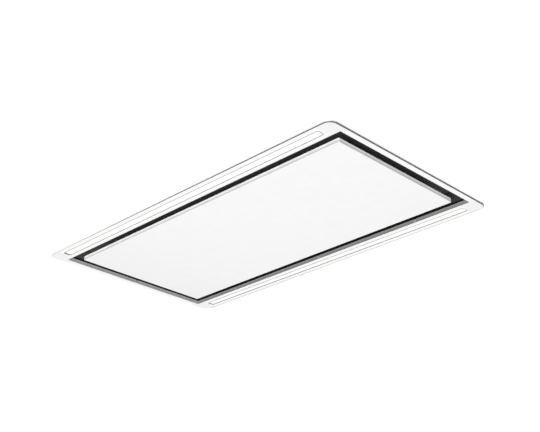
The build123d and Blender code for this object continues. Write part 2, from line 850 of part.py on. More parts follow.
with BuildPart() as motor_housing:
    with BuildSketch(Plane.XY.offset(motor_low)):
        Circle(motor_radius)
    extrude(amount=motor_length)
    with BuildSketch(Plane.XY.offset(lower_bearing_z)):
        Circle(motor_inner)
    extrude(amount=motor_length - motor_floor, mode=Mode.SUBTRACT)
    with BuildSketch(Plane.XY.offset(lower_bearing_z)):
        Circle(shell_radius)
        Circle(shell_bore, mode=Mode.SUBTRACT)
    extrude(amount=bearing_length)
    with BuildSketch(Plane.XY.offset(motor_low)):
        Circle(shaft_radius + face_gap)
    extrude(amount=motor_floor, mode=Mode.SUBTRACT)
motor_housing.part.label = "motor_housing"
export_step(motor_housing.part, "parts/motor_housing.step")

with BuildPart() as motor_flange:
    with BuildSketch(Plane.XY.offset(cap_low)):
        Circle(motor_flange_radius)
        with PolarLocations(motor_bolt_circle, isolator_count):
            Circle(screw_radius + running_fit, mode=Mode.SUBTRACT)
    extrude(amount=motor_floor)
    with BuildSketch(Plane.XY.offset(upper_bearing_z)):
        Circle(shell_radius)
        Circle(shell_bore, mode=Mode.SUBTRACT)
    extrude(amount=bearing_length)
motor_flange.part.label = "motor_flange"
export_step(motor_flange.part, "parts/motor_flange.step")

with BuildPart() as motor_bearings:
    for level in (lower_bearing_z, upper_bearing_z):
        with BuildSketch(Plane.XY.offset(level)):
            Circle(bearing_radius)
            Circle(shaft_radius + running_fit, mode=Mode.SUBTRACT)
        extrude(amount=bearing_length)
motor_bearings.part.label = "motor_bearings"
export_step(motor_bearings.part, "parts/motor_bearings.step")

with BuildPart() as motor_stator:
    with BuildSketch(Plane.XY.offset(core_middle)):
        Circle(motor_inner - fixed_fit)
        Circle(stator_bore, mode=Mode.SUBTRACT)
        with PolarLocations(stator_bore + stator_slot, stator_slots):
            Circle(stator_slot / 2, mode=Mode.SUBTRACT)
    extrude(amount=stator_length / 2, both=True)
motor_stator.part.label = "motor_stator"
export_step(motor_stator.part, "parts/motor_stator.step")

with BuildPart() as motor_rotor:
    with BuildSketch(Plane.XY.offset(core_middle)):
        Circle(stator_bore - air_gap)
        Circle(shaft_radius + fixed_fit, mode=Mode.SUBTRACT)
    extrude(amount=rotor_length / 2, both=True)
motor_rotor.part.label = "motor_rotor"
export_step(motor_rotor.part, "parts/motor_rotor.step")

hub_top = motor_low - motor_floor_gap + wheel_sheet
hub_low = hub_top - hub_length
with BuildPart() as motor_shaft:
    with BuildSketch(Plane.XY.offset(hub_low - wheel_sheet)):
        Circle(shaft_radius)
    extrude(amount=cap_low - face_gap - hub_low + wheel_sheet)
motor_shaft.part.label = "motor_shaft"
export_step(motor_shaft.part, "parts/motor_shaft.step")

with BuildPart() as motor_isolators:
    with BuildSketch(Plane.XY.offset(motor_top)):
        with PolarLocations(motor_bolt_circle, isolator_count):
            Circle(isolator_radius)
            Circle(screw_radius + running_fit, mode=Mode.SUBTRACT)
    extrude(amount=motor_flange_drop)
motor_isolators.part.label = "motor_isolators"
export_step(motor_isolators.part, "parts/motor_isolators.step")

with BuildPart() as motor_screws:
    with BuildSketch(Plane.XY.offset(scroll_top + scroll_sheet)):
        with PolarLocations(motor_bolt_circle, isolator_count):
            Circle(screw_head_radius)
    extrude(amount=screw_head)
    with BuildSketch(Plane.XY.offset(scroll_top + scroll_sheet)):
        with PolarLocations(motor_bolt_circle, isolator_count):
            Circle(screw_radius)
    extrude(amount=cap_low - screw_grip - scroll_top - scroll_sheet)
motor_screws.part.label = "motor_screws"
export_step(motor_screws.part, "parts/motor_screws.step")

# ---------------------------------------------------------------- blower wheel
cup_radius = motor_radius + motor_wheel_gap
cup_floor = hub_top - wheel_sheet
blade_root = wheel_radius - wheel_blade_depth + blade_thickness
blade_tip = wheel_radius - blade_thickness

with BuildSketch() as blade:
    with BuildLine(mode=Mode.PRIVATE) as blade_line:
        ThreePointArc(
            (blade_root, 0),
            ((blade_root + blade_tip) / 2, blade_sag),
            (blade_tip, -blade_lead),
        )
    SlotArc(blade_line.edge(), blade_thickness)

with BuildPart() as blower_wheel:
    with BuildSketch(Plane.XZ):
        with BuildLine():
            Polyline(
                (shaft_radius + fixed_fit, hub_low),
                (hub_radius, hub_low),
                (hub_radius, cup_floor - wheel_sheet),
                (cup_radius + wheel_sheet, cup_floor - wheel_sheet),
                (cup_radius + wheel_sheet, wheel_top),
                (wheel_radius, wheel_top),
                (wheel_radius, wheel_top + wheel_sheet),
                (cup_radius, wheel_top + wheel_sheet),
                (cup_radius, cup_floor),
                (hub_radius, cup_floor),
                (hub_radius, hub_top),
                (shaft_radius + fixed_fit, hub_top),
                close=True,
            )
        make_face()
    revolve(axis=Axis.Z)
    with BuildSketch(Plane.XY.offset(wheel_low)):
        Circle(wheel_radius)
        Circle(wheel_radius - wheel_blade_depth, mode=Mode.SUBTRACT)
    extrude(amount=wheel_sheet)
    with BuildSketch(Plane.XY.offset(wheel_low)):
        with PolarLocations(0, blade_count):
            add(blade.sketch)
    extrude(amount=wheel_height)
blower_wheel.part.label = "blower_wheel"
export_step(blower_wheel.part, "parts/blower_wheel.step")

# ---------------------------------------------------------------- motor box
box_top = scroll_top + box_headroom
spigot_y = (throat_high + throat_low) / 2
spigot_z = (casing_height + box_top) / 2
spigot_bore = spigot_radius - spigot_wall
throat_half = (throat_high - throat_low) / 2
mouth_half = max(spigot_radius, throat_half + scroll_sheet + face_gap)
collar_x = box_right + box_sheet
collar_screw_places = [
    (spigot_y + across * (mouth_half + screw_radius), spigot_z + up * (spigot_radius + screw_radius))
    for across in (-1, 1)
    for up in (-1, 1)
]

with BuildPart() as motor_box:
    with BuildSketch(casing_top_plane):
        with Locations((box_x, box_y)):
            Rectangle(box_length + 2 * (box_sheet + box_foot), box_width + 2 * (box_sheet + box_foot))
    extrude(amount=box_sheet)
    with BuildSketch(casing_top_plane):
        with Locations((box_x, box_y)):
            Rectangle(box_length + 2 * box_sheet, box_width + 2 * box_sheet)
    extrude(amount=box_top - casing_height)
    with BuildSketch(casing_top_plane):
        with Locations((box_x, box_y)):
            Rectangle(box_length, box_width)
    extrude(amount=box_top - casing_height - box_sheet, mode=Mode.SUBTRACT)
    with BuildSketch(Plane.YZ.offset(box_right)):
        with Locations((spigot_y, spigot_z)):
            Circle(spigot_bore)
    extrude(amount=box_sheet, mode=Mode.SUBTRACT)
    screw_holes(Plane.YZ.offset(collar_x), collar_screw_places, box_sheet)
    screw_holes(casing_top_plane.offset(box_sheet), box_screw_places, box_sheet)
motor_box.part.label = "motor_box"
export_step(motor_box.part, "parts/motor_box.step")

capacitor_x = box_left + capacitor_corner_gap + capacitor_radius
capacitor_y = box_rear - capacitor_corner_gap - capacitor_radius
with BuildPart() as motor_capacitor:
    with BuildSketch(casing_top_plane):
        with Locations((capacitor_x, capacitor_y)):
            Circle(capacitor_radius)
    extrude(amount=capacitor_height)
    fillet(motor_capacitor.edges().group_by(Axis.Z)[-1], fold_radius)
    with BuildSketch(casing_top_plane.offset(capacitor_height)):
        with Locations((capacitor_x, capacitor_y)):
            with GridLocations(capacitor_radius, 0, 2, 1):
                Rectangle(tab_thickness, tab_width)
    extrude(amount=tab_width)
motor_capacitor.part.label = "motor_capacitor"
export_step(motor_capacitor.part, "parts/motor_capacitor.step")

# ---------------------------------------------------------------- duct collar and flaps
flap_x = collar_x + flap_setback
flap_radius = spigot_bore - flap_rim_gap
plate_start = knuckle_radius + knuckle_gap
stop_end = flap_x - flap_thickness / 2 - stop_gap
knuckle_span = 2 * (spigot_bore - stop_height - knuckle_radius)
knuckle_pitch = knuckle_span / knuckle_count

with BuildPart() as duct_collar:
    with BuildSketch(Plane.YZ.offset(collar_x)):
        with Locations((spigot_y, spigot_z)):
            RectangleRounded(
                2 * (mouth_half + collar_flange),
                2 * (spigot_radius + collar_flange),
                collar_flange,
            )
            Circle(spigot_bore, mode=Mode.SUBTRACT)
    extrude(amount=collar_plate)
    with BuildSketch(Plane.YZ.offset(collar_x)):
        with Locations((spigot_y, spigot_z)):
            Circle(spigot_radius)
            Circle(spigot_bore, mode=Mode.SUBTRACT)
    extrude(amount=spigot_length)
    with BuildSketch(Plane.YZ.offset(stop_end)):
        with Locations((spigot_y, spigot_z)):
            Circle(spigot_radius)
            Circle(spigot_bore - stop_height, mode=Mode.SUBTRACT)
            Rectangle(2 * plate_start, 2 * spigot_bore, mode=Mode.SUBTRACT)
    extrude(amount=-stop_thickness)
    with BuildSketch(Plane.XY.offset(spigot_z)):
        with Locations((flap_x, spigot_y)):
            Circle(flap_pin_radius + fixed_fit)
    extrude(amount=spigot_radius, both=True, mode=Mode.SUBTRACT)
    screw_holes(Plane.YZ.offset(collar_x + collar_plate), collar_screw_places, collar_plate)
duct_collar.part.label = "duct_collar"
export_step(duct_collar.part, "parts/duct_collar.step")

with BuildPart() as flap_pin:
    with BuildSketch(Plane.XY.offset(spigot_z)):
        with Locations((flap_x, spigot_y)):
            Circle(flap_pin_radius)
    extrude(amount=spigot_radius - face_gap, both=True)
flap_pin.part.label = "flap_pin"
export_step(flap_pin.part, "parts/flap_pin.step")

for side, place in ((-1, "front"), (1, "rear")):
    first_knuckle = (side + 1) // 2
    with BuildPart() as duct_flap:
        with BuildSketch(Plane.YZ.offset(flap_x)):
            with Locations((spigot_y, spigot_z)):
                Circle(flap_radius)
            with Locations((spigot_y - side * (flap_radius - plate_start), spigot_z)):
                Rectangle(2 * flap_radius, 2 * flap_radius, mode=Mode.SUBTRACT)
            for index in range(first_knuckle, knuckle_count, 2):
                level = spigot_z - knuckle_span / 2 + (index + 0.5) * knuckle_pitch
                with Locations((spigot_y + side * plate_start / 2, level)):
                    Rectangle(plate_start, knuckle_pitch - knuckle_gap)
        extrude(amount=flap_thickness / 2, both=True)
        for index in range(first_knuckle, knuckle_count, 2):
            level = spigot_z - knuckle_span / 2 + index * knuckle_pitch + knuckle_gap / 2
            with BuildSketch(Plane.XY.offset(level)):
                with Locations((flap_x, spigot_y)):
                    Circle(knuckle_radius)
            extrude(amount=knuckle_pitch - knuckle_gap)
        with BuildSketch(Plane.XY.offset(spigot_z)):
            with Locations((flap_x, spigot_y)):
                Circle(flap_pin_radius + running_fit)
        extrude(amount=spigot_radius, both=True, mode=Mode.SUBTRACT)
    duct_flap.part.label = f"duct_flap_{place}"
    export_step(duct_flap.part, f"parts/duct_flap_{place}.step")

# ---------------------------------------------------------------- electrics
control_left = control_x - control_length / 2
control_right = control_x + control_length / 2
control_floor = casing_height + control_wall
circuit_x = control_right - control_wall - control_margin - circuit_length / 2
circuit_z = control_floor + control_standoff
standoff_long = circuit_length - 2 * control_margin
standoff_short = circuit_width - 2 * control_margin
driver_x = circuit_x - circuit_length / 2 - control_margin - driver_length / 2
gland_y = -control_width / 4
gland_z = casing_height + gland_height
terminal_x = (control_left + control_wall + driver_x - driver_length / 2) / 2

with BuildPart() as control_box:
    with BuildSketch(casing_top_plane):
        with Locations((control_x, 0)):
            RectangleRounded(control_length, control_width, control_corner)
    extrude(amount=control_height)
    with BuildSketch(Plane.XY.offset(control_floor)):
        with Locations((control_x, 0)):
            RectangleRounded(
                control_length - 2 * control_wall,
                control_width - 2 * control_wall,
                control_corner - control_wall,
            )
    extrude(amount=control_height - control_wall, mode=Mode.SUBTRACT)
    with BuildSketch(Plane.XY.offset(control_floor)):
        with Locations((circuit_x, 0)):
            with GridLocations(standoff_long, standoff_short, 2, 2):
                Circle(screw_head_radius)
    extrude(amount=control_standoff)
    with BuildSketch(Plane.YZ.offset(control_left)):
        with Locations((gland_y, gland_z)):
            Circle(gland_thread + fixed_fit)
    extrude(amount=control_wall, mode=Mode.SUBTRACT)
    screw_holes(Plane.XY.offset(control_floor), control_screw_places, control_wall)
control_box.part.label = "control_box"
export_step(control_box.part, "parts/control_box.step")

with BuildPart() as control_cover:
    with BuildSketch(casing_top_plane.offset(control_height)):
        with Locations((control_x, 0)):
            RectangleRounded(control_length, control_width, control_corner)
    extrude(amount=control_cover_sheet)
    with BuildSketch(casing_top_plane.offset(control_height)):
        with Locations((control_x, 0)):
            RectangleRounded(
                control_length - 2 * control_wall - 2 * face_gap,
                control_width - 2 * control_wall - 2 * face_gap,
                control_corner - control_wall - face_gap,
            )
            offset(amount=-control_wall, mode=Mode.SUBTRACT)
    extrude(amount=-2 * control_cover_sheet)
control_cover.part.label = "control_cover"
export_step(control_cover.part, "parts/control_cover.step")

with BuildPart() as control_circuit:
    with BuildSketch(Plane.XY.offset(circuit_z)):
        with Locations((circuit_x, 0)):
            Rectangle(circuit_length, circuit_width)
    extrude(amount=board_thickness)
control_circuit.part.label = "control_circuit"
export_step(control_circuit.part, "parts/control_circuit.step")

parts_z = circuit_z + board_thickness
connector_y = control_margin - circuit_width / 2 + relay_width / 2

with BuildPart() as circuit_parts:
    with BuildSketch(Plane.XY.offset(parts_z)):
        with Locations((circuit_x + circuit_length / 4, circuit_width / 4)):
            Rectangle(transformer_length, transformer_width)
    extrude(amount=transformer_height)
    with BuildSketch(Plane.XY.offset(parts_z)):
        with Locations((circuit_x - circuit_length / 4, circuit_width / 4)):
            with GridLocations(relay_length + control_margin, relay_width + control_margin, 2, 2):
                Rectangle(relay_length, relay_width)
    extrude(amount=relay_height)
    with BuildSketch(Plane.XY.offset(parts_z)):
        with Locations((circuit_x + circuit_length / 4, -circuit_width / 4)):
            with GridLocations(3 * buffer_radius, 0, 2, 1):
                Circle(buffer_radius)
    extrude(amount=relay_height)
    with BuildSketch(Plane.XY.offset(parts_z)):
        with Locations((circuit_x - circuit_length / 4, connector_y)):
            Rectangle(circuit_length / 3, relay_width)
    extrude(amount=relay_height)
circuit_parts.part.label = "circuit_parts"
export_step(circuit_parts.part, "parts/circuit_parts.step")

with BuildPart() as led_driver:
    with BuildSketch(Plane.XY.offset(control_floor)):
        with Locations((driver_x, 0)):
            Rectangle(driver_length, driver_width)
    extrude(amount=driver_height)
    fillet(led_driver.edges().filter_by(Axis.Z), fold_radius)
led_driver.part.label = "led_driver"
export_step(led_driver.part, "parts/led_driver.step")

with BuildPart() as terminal_block:
    with BuildSketch(Plane.XY.offset(control_floor)):
        with Locations((terminal_x, -gland_y)):
            Rectangle(terminal_length, terminal_pitch * terminal_ways)
    extrude(amount=terminal_height)
    with BuildSketch(Plane.XY.offset(control_floor + terminal_height)):
        with Locations((terminal_x, -gland_y)):
            with GridLocations(terminal_length / 2, terminal_pitch, 2, terminal_ways):
                Circle(terminal_pitch / 4)
    extrude(amount=-terminal_height / 2, mode=Mode.SUBTRACT)
terminal_block.part.label = "terminal_block"
export_step(terminal_block.part, "parts/terminal_block.step")

with BuildPart() as cable_gland:
    with BuildSketch(Plane.YZ.offset(control_left)):
        with Locations((gland_y, gland_z)):
            RegularPolygon(gland_radius, 6)
    extrude(amount=-gland_nut)
    with BuildSketch(Plane.YZ.offset(control_left - gland_nut)):
        with Locations((gland_y, gland_z)):
            Circle(gland_thread)
    extrude(amount=gland_nut - gland_length)
    with BuildSketch(Plane.YZ.offset(control_left - gland_nut)):
        with Locations((gland_y, gland_z)):
            Circle(gland_thread)
    extrude(amount=2 * gland_nut + control_wall)
    with BuildSketch(Plane.YZ.offset(control_left + control_wall)):
        with Locations((gland_y, gland_z)):
            RegularPolygon(gland_radius, 6)
    extrude(amount=gland_nut)
    with BuildSketch(Plane.YZ.offset(control_left)):
        with Locations((gland_y, gland_z)):
            Circle(gland_bore)
    extrude(amount=gland_length + control_wall + gland_nut, both=True, mode=Mode.SUBTRACT)
cable_gland.part.label = "cable_gland"
export_step(cable_gland.part, "parts/cable_gland.step")

# ---------------------------------------------------------------- hangers
hanger_foot_plane = casing_top_plane.offset(hanger_sheet)

with BuildPart() as rod_hangers:
    with BuildSketch(casing_top_plane):
        with GridLocations(2 * hanger_x, 2 * hanger_y, 2, 2):
            Rectangle(hanger_depth, hanger_width)
    extrude(amount=hanger_height)
    for side in (-1, 1):
        with BuildSketch(hanger_foot_plane):
            with Locations((side * (hanger_x + hanger_sheet), 0)):
                with GridLocations(0, 2 * hanger_y, 1, 2):
                    Rectangle(hanger_depth, hanger_width)
        extrude(amount=hanger_height - 2 * hanger_sheet, mode=Mode.SUBTRACT)
    with BuildSketch(casing_top_plane.offset(hanger_height)):
        with GridLocations(2 * hanger_x, 2 * hanger_y, 2, 2):
            Circle(hanger_hole)
    extrude(amount=-hanger_sheet, mode=Mode.SUBTRACT)
    screw_holes(hanger_foot_plane, hanger_screw_places, hanger_sheet)
rod_hangers.part.label = "rod_hangers"
export_step(rod_hangers.part, "parts/rod_hangers.step")

# ---------------------------------------------------------------- screws of the casing
with BuildPart() as casing_screws:
    for side in (-1, 1):
        screws_on(facing_y(side, casing_width / 2), casing_screw_row, casing_screw_length)
        screws_on(facing_x(side, casing_length / 2), casing_screw_end, casing_screw_length)
    screws_on(
        casing_top_plane.offset(box_sheet),
        box_screw_places,
        box_sheet + casing_sheet + screw_grip,
    )
    screws_on(
        Plane.YZ.offset(collar_x + collar_plate),
        collar_screw_places,
        collar_plate + box_sheet + screw_grip,
    )
    screws_on(hanger_foot_plane, hanger_screw_places, hanger_sheet + casing_sheet + screw_grip)
    screws_on(
        Plane.XY.offset(control_floor),
        control_screw_places,
        control_wall + casing_sheet + screw_grip,
    )
casing_screws.part.label = "casing_screws"
export_step(casing_screws.part, "parts/casing_screws.step")
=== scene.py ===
import json
import math

import bmesh
import bpy
from mathutils import Matrix, Vector


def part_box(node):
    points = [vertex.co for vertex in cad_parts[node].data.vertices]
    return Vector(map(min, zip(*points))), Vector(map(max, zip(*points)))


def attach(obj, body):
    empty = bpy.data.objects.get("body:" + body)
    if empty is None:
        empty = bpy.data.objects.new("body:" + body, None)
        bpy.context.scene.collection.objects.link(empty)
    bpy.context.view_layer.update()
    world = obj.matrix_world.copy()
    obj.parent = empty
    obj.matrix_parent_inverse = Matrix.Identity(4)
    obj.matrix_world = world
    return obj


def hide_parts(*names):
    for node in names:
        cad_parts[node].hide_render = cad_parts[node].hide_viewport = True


# A ceiling range hood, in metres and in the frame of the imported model: +Z is up into the
# ceiling, the front is -Y, and the ceiling's lower face is the plane z = 0.

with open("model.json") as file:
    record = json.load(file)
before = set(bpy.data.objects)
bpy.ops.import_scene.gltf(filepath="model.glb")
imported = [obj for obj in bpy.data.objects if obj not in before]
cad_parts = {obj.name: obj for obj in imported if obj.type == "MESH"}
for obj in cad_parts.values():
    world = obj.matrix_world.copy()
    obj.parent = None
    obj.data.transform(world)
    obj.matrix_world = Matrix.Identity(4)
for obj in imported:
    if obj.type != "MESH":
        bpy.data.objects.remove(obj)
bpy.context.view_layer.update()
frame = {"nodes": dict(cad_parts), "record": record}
nodes = frame["nodes"]

# ---------------------------------------------------------------- finishes
UNSTRETCHED = (1, 1, 1)
NOISE_BAND = (0.3, 0.7)  # nearly all of a noise lies between these values
CELL_BAND = (0.0, 1.0)
GRAIN_DETAIL = 2.0
# the sockets of a Mix node that mixes colours
MIX_FACTOR, MIX_FIRST, MIX_SECOND, MIX_RESULT = 0, 6, 7, 2
# roughness, from its least to its most
SATIN = (0.42, 0.5)
MATT = (0.6, 0.7)


def start(name):
    """An empty node material with a Principled shader."""
    made = bpy.data.materials.new(name)
    made.use_nodes = True
    tree = made.node_tree
    tree.nodes.clear()
    shader = tree.nodes.new("ShaderNodeBsdfPrincipled")
    out = tree.nodes.new("ShaderNodeOutputMaterial")
    tree.links.new(shader.outputs["BSDF"], out.inputs["Surface"])
    return made, tree, shader


def place(tree, stretch=UNSTRETCHED):
    """Object coordinates, in metres, stretched along each axis."""
    where = tree.nodes.new("ShaderNodeTexCoord")
    mapping = tree.nodes.new("ShaderNodeMapping")
    mapping.inputs["Scale"].default_value = stretch
    tree.links.new(where.outputs["Object"], mapping.inputs["Vector"])
    return mapping.outputs["Vector"]


def pattern(tree, kind, at, size, detail=3.0):
    """The value of a noise or a cell pattern whose features have that size in metres."""
    if kind == "cells":
        made = tree.nodes.new("ShaderNodeTexVoronoi")
        made.inputs["Scale"].default_value = 1 / size
        tree.links.new(at, made.inputs["Vector"])
        split = tree.nodes.new("ShaderNodeSeparateColor")
        tree.links.new(made.outputs["Color"], split.inputs["Color"])
        return split.outputs["Red"]
    made = tree.nodes.new("ShaderNodeTexNoise")
    made.inputs["Scale"].default_value = 1 / size
    made.inputs["Detail"].default_value = detail
    tree.links.new(at, made.inputs["Vector"])
    return made.outputs["Fac"]


def spread(tree, value, low, high, band=NOISE_BAND):
    """The value from one end of a band to the other, carried over to low and high."""
    made = tree.nodes.new("ShaderNodeMapRange")
    made.inputs["From Min"].default_value, made.inputs["From Max"].default_value = band
    made.inputs["To Min"].default_value = low
    made.inputs["To Max"].default_value = high
    tree.links.new(value, made.inputs["Value"])
    return made.outputs["Result"]


def two_tones(tree, value, dark, light):
    """A colour between two tones."""
    made = tree.nodes.new("ShaderNodeMix")
    made.data_type = "RGBA"
    made.inputs[MIX_FIRST].default_value = (*dark, 1)
    made.inputs[MIX_SECOND].default_value = (*light, 1)
    tree.links.new(value, made.inputs[MIX_FACTOR])
    return made.outputs[MIX_RESULT]


def grain(tree, shader, at, size, depth, strength):
    """A fine relief of grains of that size, and of that depth in metres."""
    made = tree.nodes.new("ShaderNodeBump")
    made.inputs["Strength"].default_value = strength
    made.inputs["Distance"].default_value = depth
    tree.links.new(pattern(tree, "noise", at, size, GRAIN_DETAIL), made.inputs["Height"])
    tree.links.new(made.outputs["Normal"], shader.inputs["Normal"])


def finish(name, dark, light, size, rough, metal=0.0, kind="noise", stretch=UNSTRETCHED,
           grain_size=0.0008, grain_depth=0.00004, grain_strength=0.4):
    """A finish of two tones in a pattern of a real size, with its roughness and a fine grain."""
    made, tree, shader = start(name)
    at = place(tree, stretch)
    value = pattern(tree, kind, at, size)
    band = CELL_BAND if kind == "cells" else NOISE_BAND
    share = spread(tree, value, 0.0, 1.0, band)
    tree.links.new(two_tones(tree, share, dark, light), shader.inputs["Base Color"])
    tree.links.new(spread(tree, value, *rough, band), shader.inputs["Roughness"])
    shader.inputs["Metallic"].default_value = metal
    grain(tree, shader, at, grain_size, grain_depth, grain_strength)
    return made


def grey(value):
    """A tone without a hue."""
    return (value, value, value)


finishes = {
    "white_coat": finish(
        "powder_coat_white", grey(0.845), grey(0.865), 0.05, SATIN,
        grain_size=0.0011, grain_depth=0.00002, grain_strength=0.25),
    "white_plastic": finish("moulded_white", grey(0.80), grey(0.82), 0.02, (0.45, 0.55)),
    "anodised": finish(
        "anodised_aluminium", grey(0.62), grey(0.70), 0.004, (0.3, 0.42), 1.0,
        stretch=(0.05, 1, 1), grain_size=0.0006),
    "circuit_white": finish("circuit_white", grey(0.76), grey(0.80), 0.01, (0.5, 0.6)),
    "led_yellow": finish(
        "phosphor", (0.80, 0.66, 0.16), (0.86, 0.74, 0.24), 0.001, (0.5, 0.6)),
    "honeycomb_board": finish(
        "core_board", (0.52, 0.42, 0.28), (0.62, 0.52, 0.36), 0.003, (0.8, 0.9)),
    "black_aluminium": finish(
        "black_sheet", grey(0.028), grey(0.036), 0.03, (0.5, 0.62), 0.4,
        grain_size=0.0009, grain_depth=0.00002),
    "black_coat": finish(
        "powder_coat_black", grey(0.026), grey(0.034), 0.04, (0.55, 0.68), grain_size=0.0012),
    "steel": finish(
        "zinc_plated", (0.58, 0.58, 0.56), (0.66, 0.67, 0.66), 0.003, (0.28, 0.4), 1.0),
    "magnet": finish("nickel_plated", grey(0.64), grey(0.68), 0.004, (0.15, 0.22), 1.0),
    "black_plastic": finish(
        "moulded_black", grey(0.030), grey(0.038), 0.006, (0.5, 0.62),
        grain_size=0.0005, grain_depth=0.00003),
    "filter_aluminium": finish(
        "bright_aluminium", grey(0.70), grey(0.80), 0.012, (0.28, 0.42), 1.0),
    "galvanised": finish(
        "galvanised_sheet", (0.50, 0.52, 0.53), (0.60, 0.62, 0.64), 0.008, (0.38, 0.5), 0.85,
        kind="cells", grain_size=0.0015, grain_depth=0.00002),
    "seal_foam": finish(
        "pale_foam", grey(0.74), grey(0.80), 0.0012, (0.9, 1.0),
        grain_size=0.0009, grain_depth=0.0003, grain_strength=0.6),
    "rubber": finish("rubber", grey(0.022), grey(0.032), 0.004, (0.7, 0.85)),
    "motor_steel": finish("motor_enamel", grey(0.07), grey(0.09), 0.02, (0.35, 0.5), 0.2),
    "core_steel": finish(
        "core_plates", grey(0.16), grey(0.30), 0.0006, (0.4, 0.6), 0.9,
        stretch=(0.02, 0.02, 1)),
    "wheel_steel": finish(
        "wheel_sheet", (0.44, 0.46, 0.47), (0.60, 0.62, 0.63), 0.007, (0.32, 0.46), 0.9,
        kind="cells"),
    "grey_plastic": finish(
        "moulded_grey", (0.10, 0.105, 0.11), (0.12, 0.125, 0.13), 0.01, (0.48, 0.6),
        grain_size=0.0006, grain_depth=0.00005),
    "circuit_green": finish(
        "circuit_green", (0.012, 0.08, 0.03), (0.02, 0.13, 0.05), 0.004, (0.25, 0.4),
        kind="cells"),
    "relay_blue": finish(
        "moulded_blue", (0.015, 0.05, 0.16), (0.02, 0.065, 0.2), 0.006, (0.3, 0.4)),
    "terminal_grey": finish("moulded_pale_grey", grey(0.36), grey(0.42), 0.006, (0.5, 0.6)),
    "capacitor_white": finish(
        "drawn_can", grey(0.60), grey(0.68), 0.004, (0.3, 0.4), 0.9, stretch=(1, 1, 0.05)),
}


def opal():
    """The milky cover of a light strip, which glows a little all over."""
    made, tree, shader = start("opal_cover")
    at = place(tree)
    share = spread(tree, pattern(tree, "noise", at, 0.03), 0, 1)
    tree.links.new(
        two_tones(tree, share, (0.86, 0.86, 0.85), (0.90, 0.90, 0.89)), shader.inputs["Base Color"]
    )
    shader.inputs["Roughness"].default_value = 0.4
    shader.inputs["Emission Color"].default_value = (1, 0.995, 0.98, 1)
    shader.inputs["Emission Strength"].default_value = 0.06
    grain(tree, shader, at, 0.0007, 0.00002, 0.3)
    return made


finishes["opal"] = opal()
slot_of = {part["node"]: part["material_slot"] for part in frame["record"]["subparts"]}
for name, piece in nodes.items():
    piece.data.materials.clear()
    piece.data.materials.append(finishes[slot_of[name]])


def refinish(name, surface, chosen):
    """Another finish on the faces of a CAD node that a test of centre and normal picks."""
    data = nodes[name].data
    data.materials.append(surface)
    for face in data.polygons:
        if chosen(face.center, face.normal):
            face.material_index = len(data.materials) - 1


# ---------------------------------------------------------------- coats that change by place
def combine(tree, operation, *values):
    """A Math node on one value or two."""
    made = tree.nodes.new("ShaderNodeMath")
    made.operation = operation
    for socket, value in zip(made.inputs, values):
        tree.links.new(value, socket)
    return made.outputs["Value"]


def coordinate(tree, at, axis, sized=False):
    """One coordinate, or its size."""
    split = tree.nodes.new("ShaderNodeSeparateXYZ")
    tree.links.new(at, split.inputs["Vector"])
    value = split.outputs[axis]
    return combine(tree, "ABSOLUTE", value) if sized else value


def ramp(tree, value, stops):
    """A tone that passes through each (value, tone) stop in turn."""
    low, high = stops[0][0], stops[-1][0]
    made = tree.nodes.new("ShaderNodeValToRGB")
    tree.links.new(spread(tree, value, 0.0, 1.0, (low, high)), made.inputs["Fac"])
    steps = made.color_ramp.elements
    steps[0].position, steps[-1].position = 0.0, 1.0
    for at, _ in stops[1:-1]:
        steps.new((at - low) / (high - low))
    for step, (_, tone) in zip(steps, stops):
        step.color = (*grey(tone), 1)
    return made.outputs["Color"]


def placed_coat(name, tone, rough=MATT, specular=0.5, mottle=0.06):
    """A coat whose tone is made from the object coordinates, and is a little uneven."""
    made, tree, shader = start(name)
    at = place(tree)
    cloud = pattern(tree, "noise", at, 0.03)
    uneven = spread(tree, cloud, 1 - mottle, 1 + mottle)
    tree.links.new(
        combine(tree, "MULTIPLY", tone(tree, at), uneven), shader.inputs["Base Color"]
    )
    tree.links.new(spread(tree, cloud, *rough), shader.inputs["Roughness"])
    shader.inputs["Specular IOR Level"].default_value = specular
    grain(tree, shader, at, 0.0012, 0.00003, 0.3)
    return made


def ramped_coat(name, axis, stops, *look):
    """A coat whose tone follows one coordinate through its stops."""
    return placed_coat(
        name, lambda tree, at: ramp(tree, coordinate(tree, at, axis), stops), *look
    )


# ---- the frame: its face with painted shade in its corners, a painted shadow line on its outer fold, and its rims and its opening's lips in painted shade
frame_low, frame_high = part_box("ceiling_frame")
CORNER = 0.022  # the radius of the outline's corners
FOLD = 0.0013  # the width and the height of its outer fold
RIM_DEPTH = 0.0003
LIP_INSET = 0.016  # the lips lie further inside the outline than this
LEVEL_FACE = 0.99  # the size of normal.z from which a face counts as level
UPRIGHT_FACE = 0.1  # and up to which it counts as upright
# the other limits on normals say where on a rounded corner or a fold a coat ends


def outline_distance(at):
    """How far a point lies outside the frame's rounded outline, in plan."""
    x = abs(at.x) - frame_high.x + CORNER
    y = abs(at.y) - frame_high.y + CORNER
    return math.hypot(max(x, 0), max(y, 0)) + min(max(x, y), 0) - CORNER


def on_fold(at, normal):
    """The rounded fold between the frame's lower face and its rims."""
    near_edge = outline_distance(at) > -FOLD and at.z < frame_low.z + FOLD
    return near_edge and normal.z > -LEVEL_FACE


def on_rim(at, normal):
    """The frame's upright outer sides, above the fold."""
    upright = outline_distance(at) > -RIM_DEPTH and abs(normal.z) < UPRIGHT_FACE
    return upright and at.z > frame_low.z + FOLD


def on_lip(at, normal):
    """The sides of the frame's opening, which look at the slot."""
    faces_middle = normal.x * at.x + normal.y * at.y < 0
    return faces_middle and outline_distance(at) < -LIP_INSET


def to_rear(normal):
    """Whether a face looks to the right or the rear, not to the left or the front."""
    return normal.x + normal.y > 0


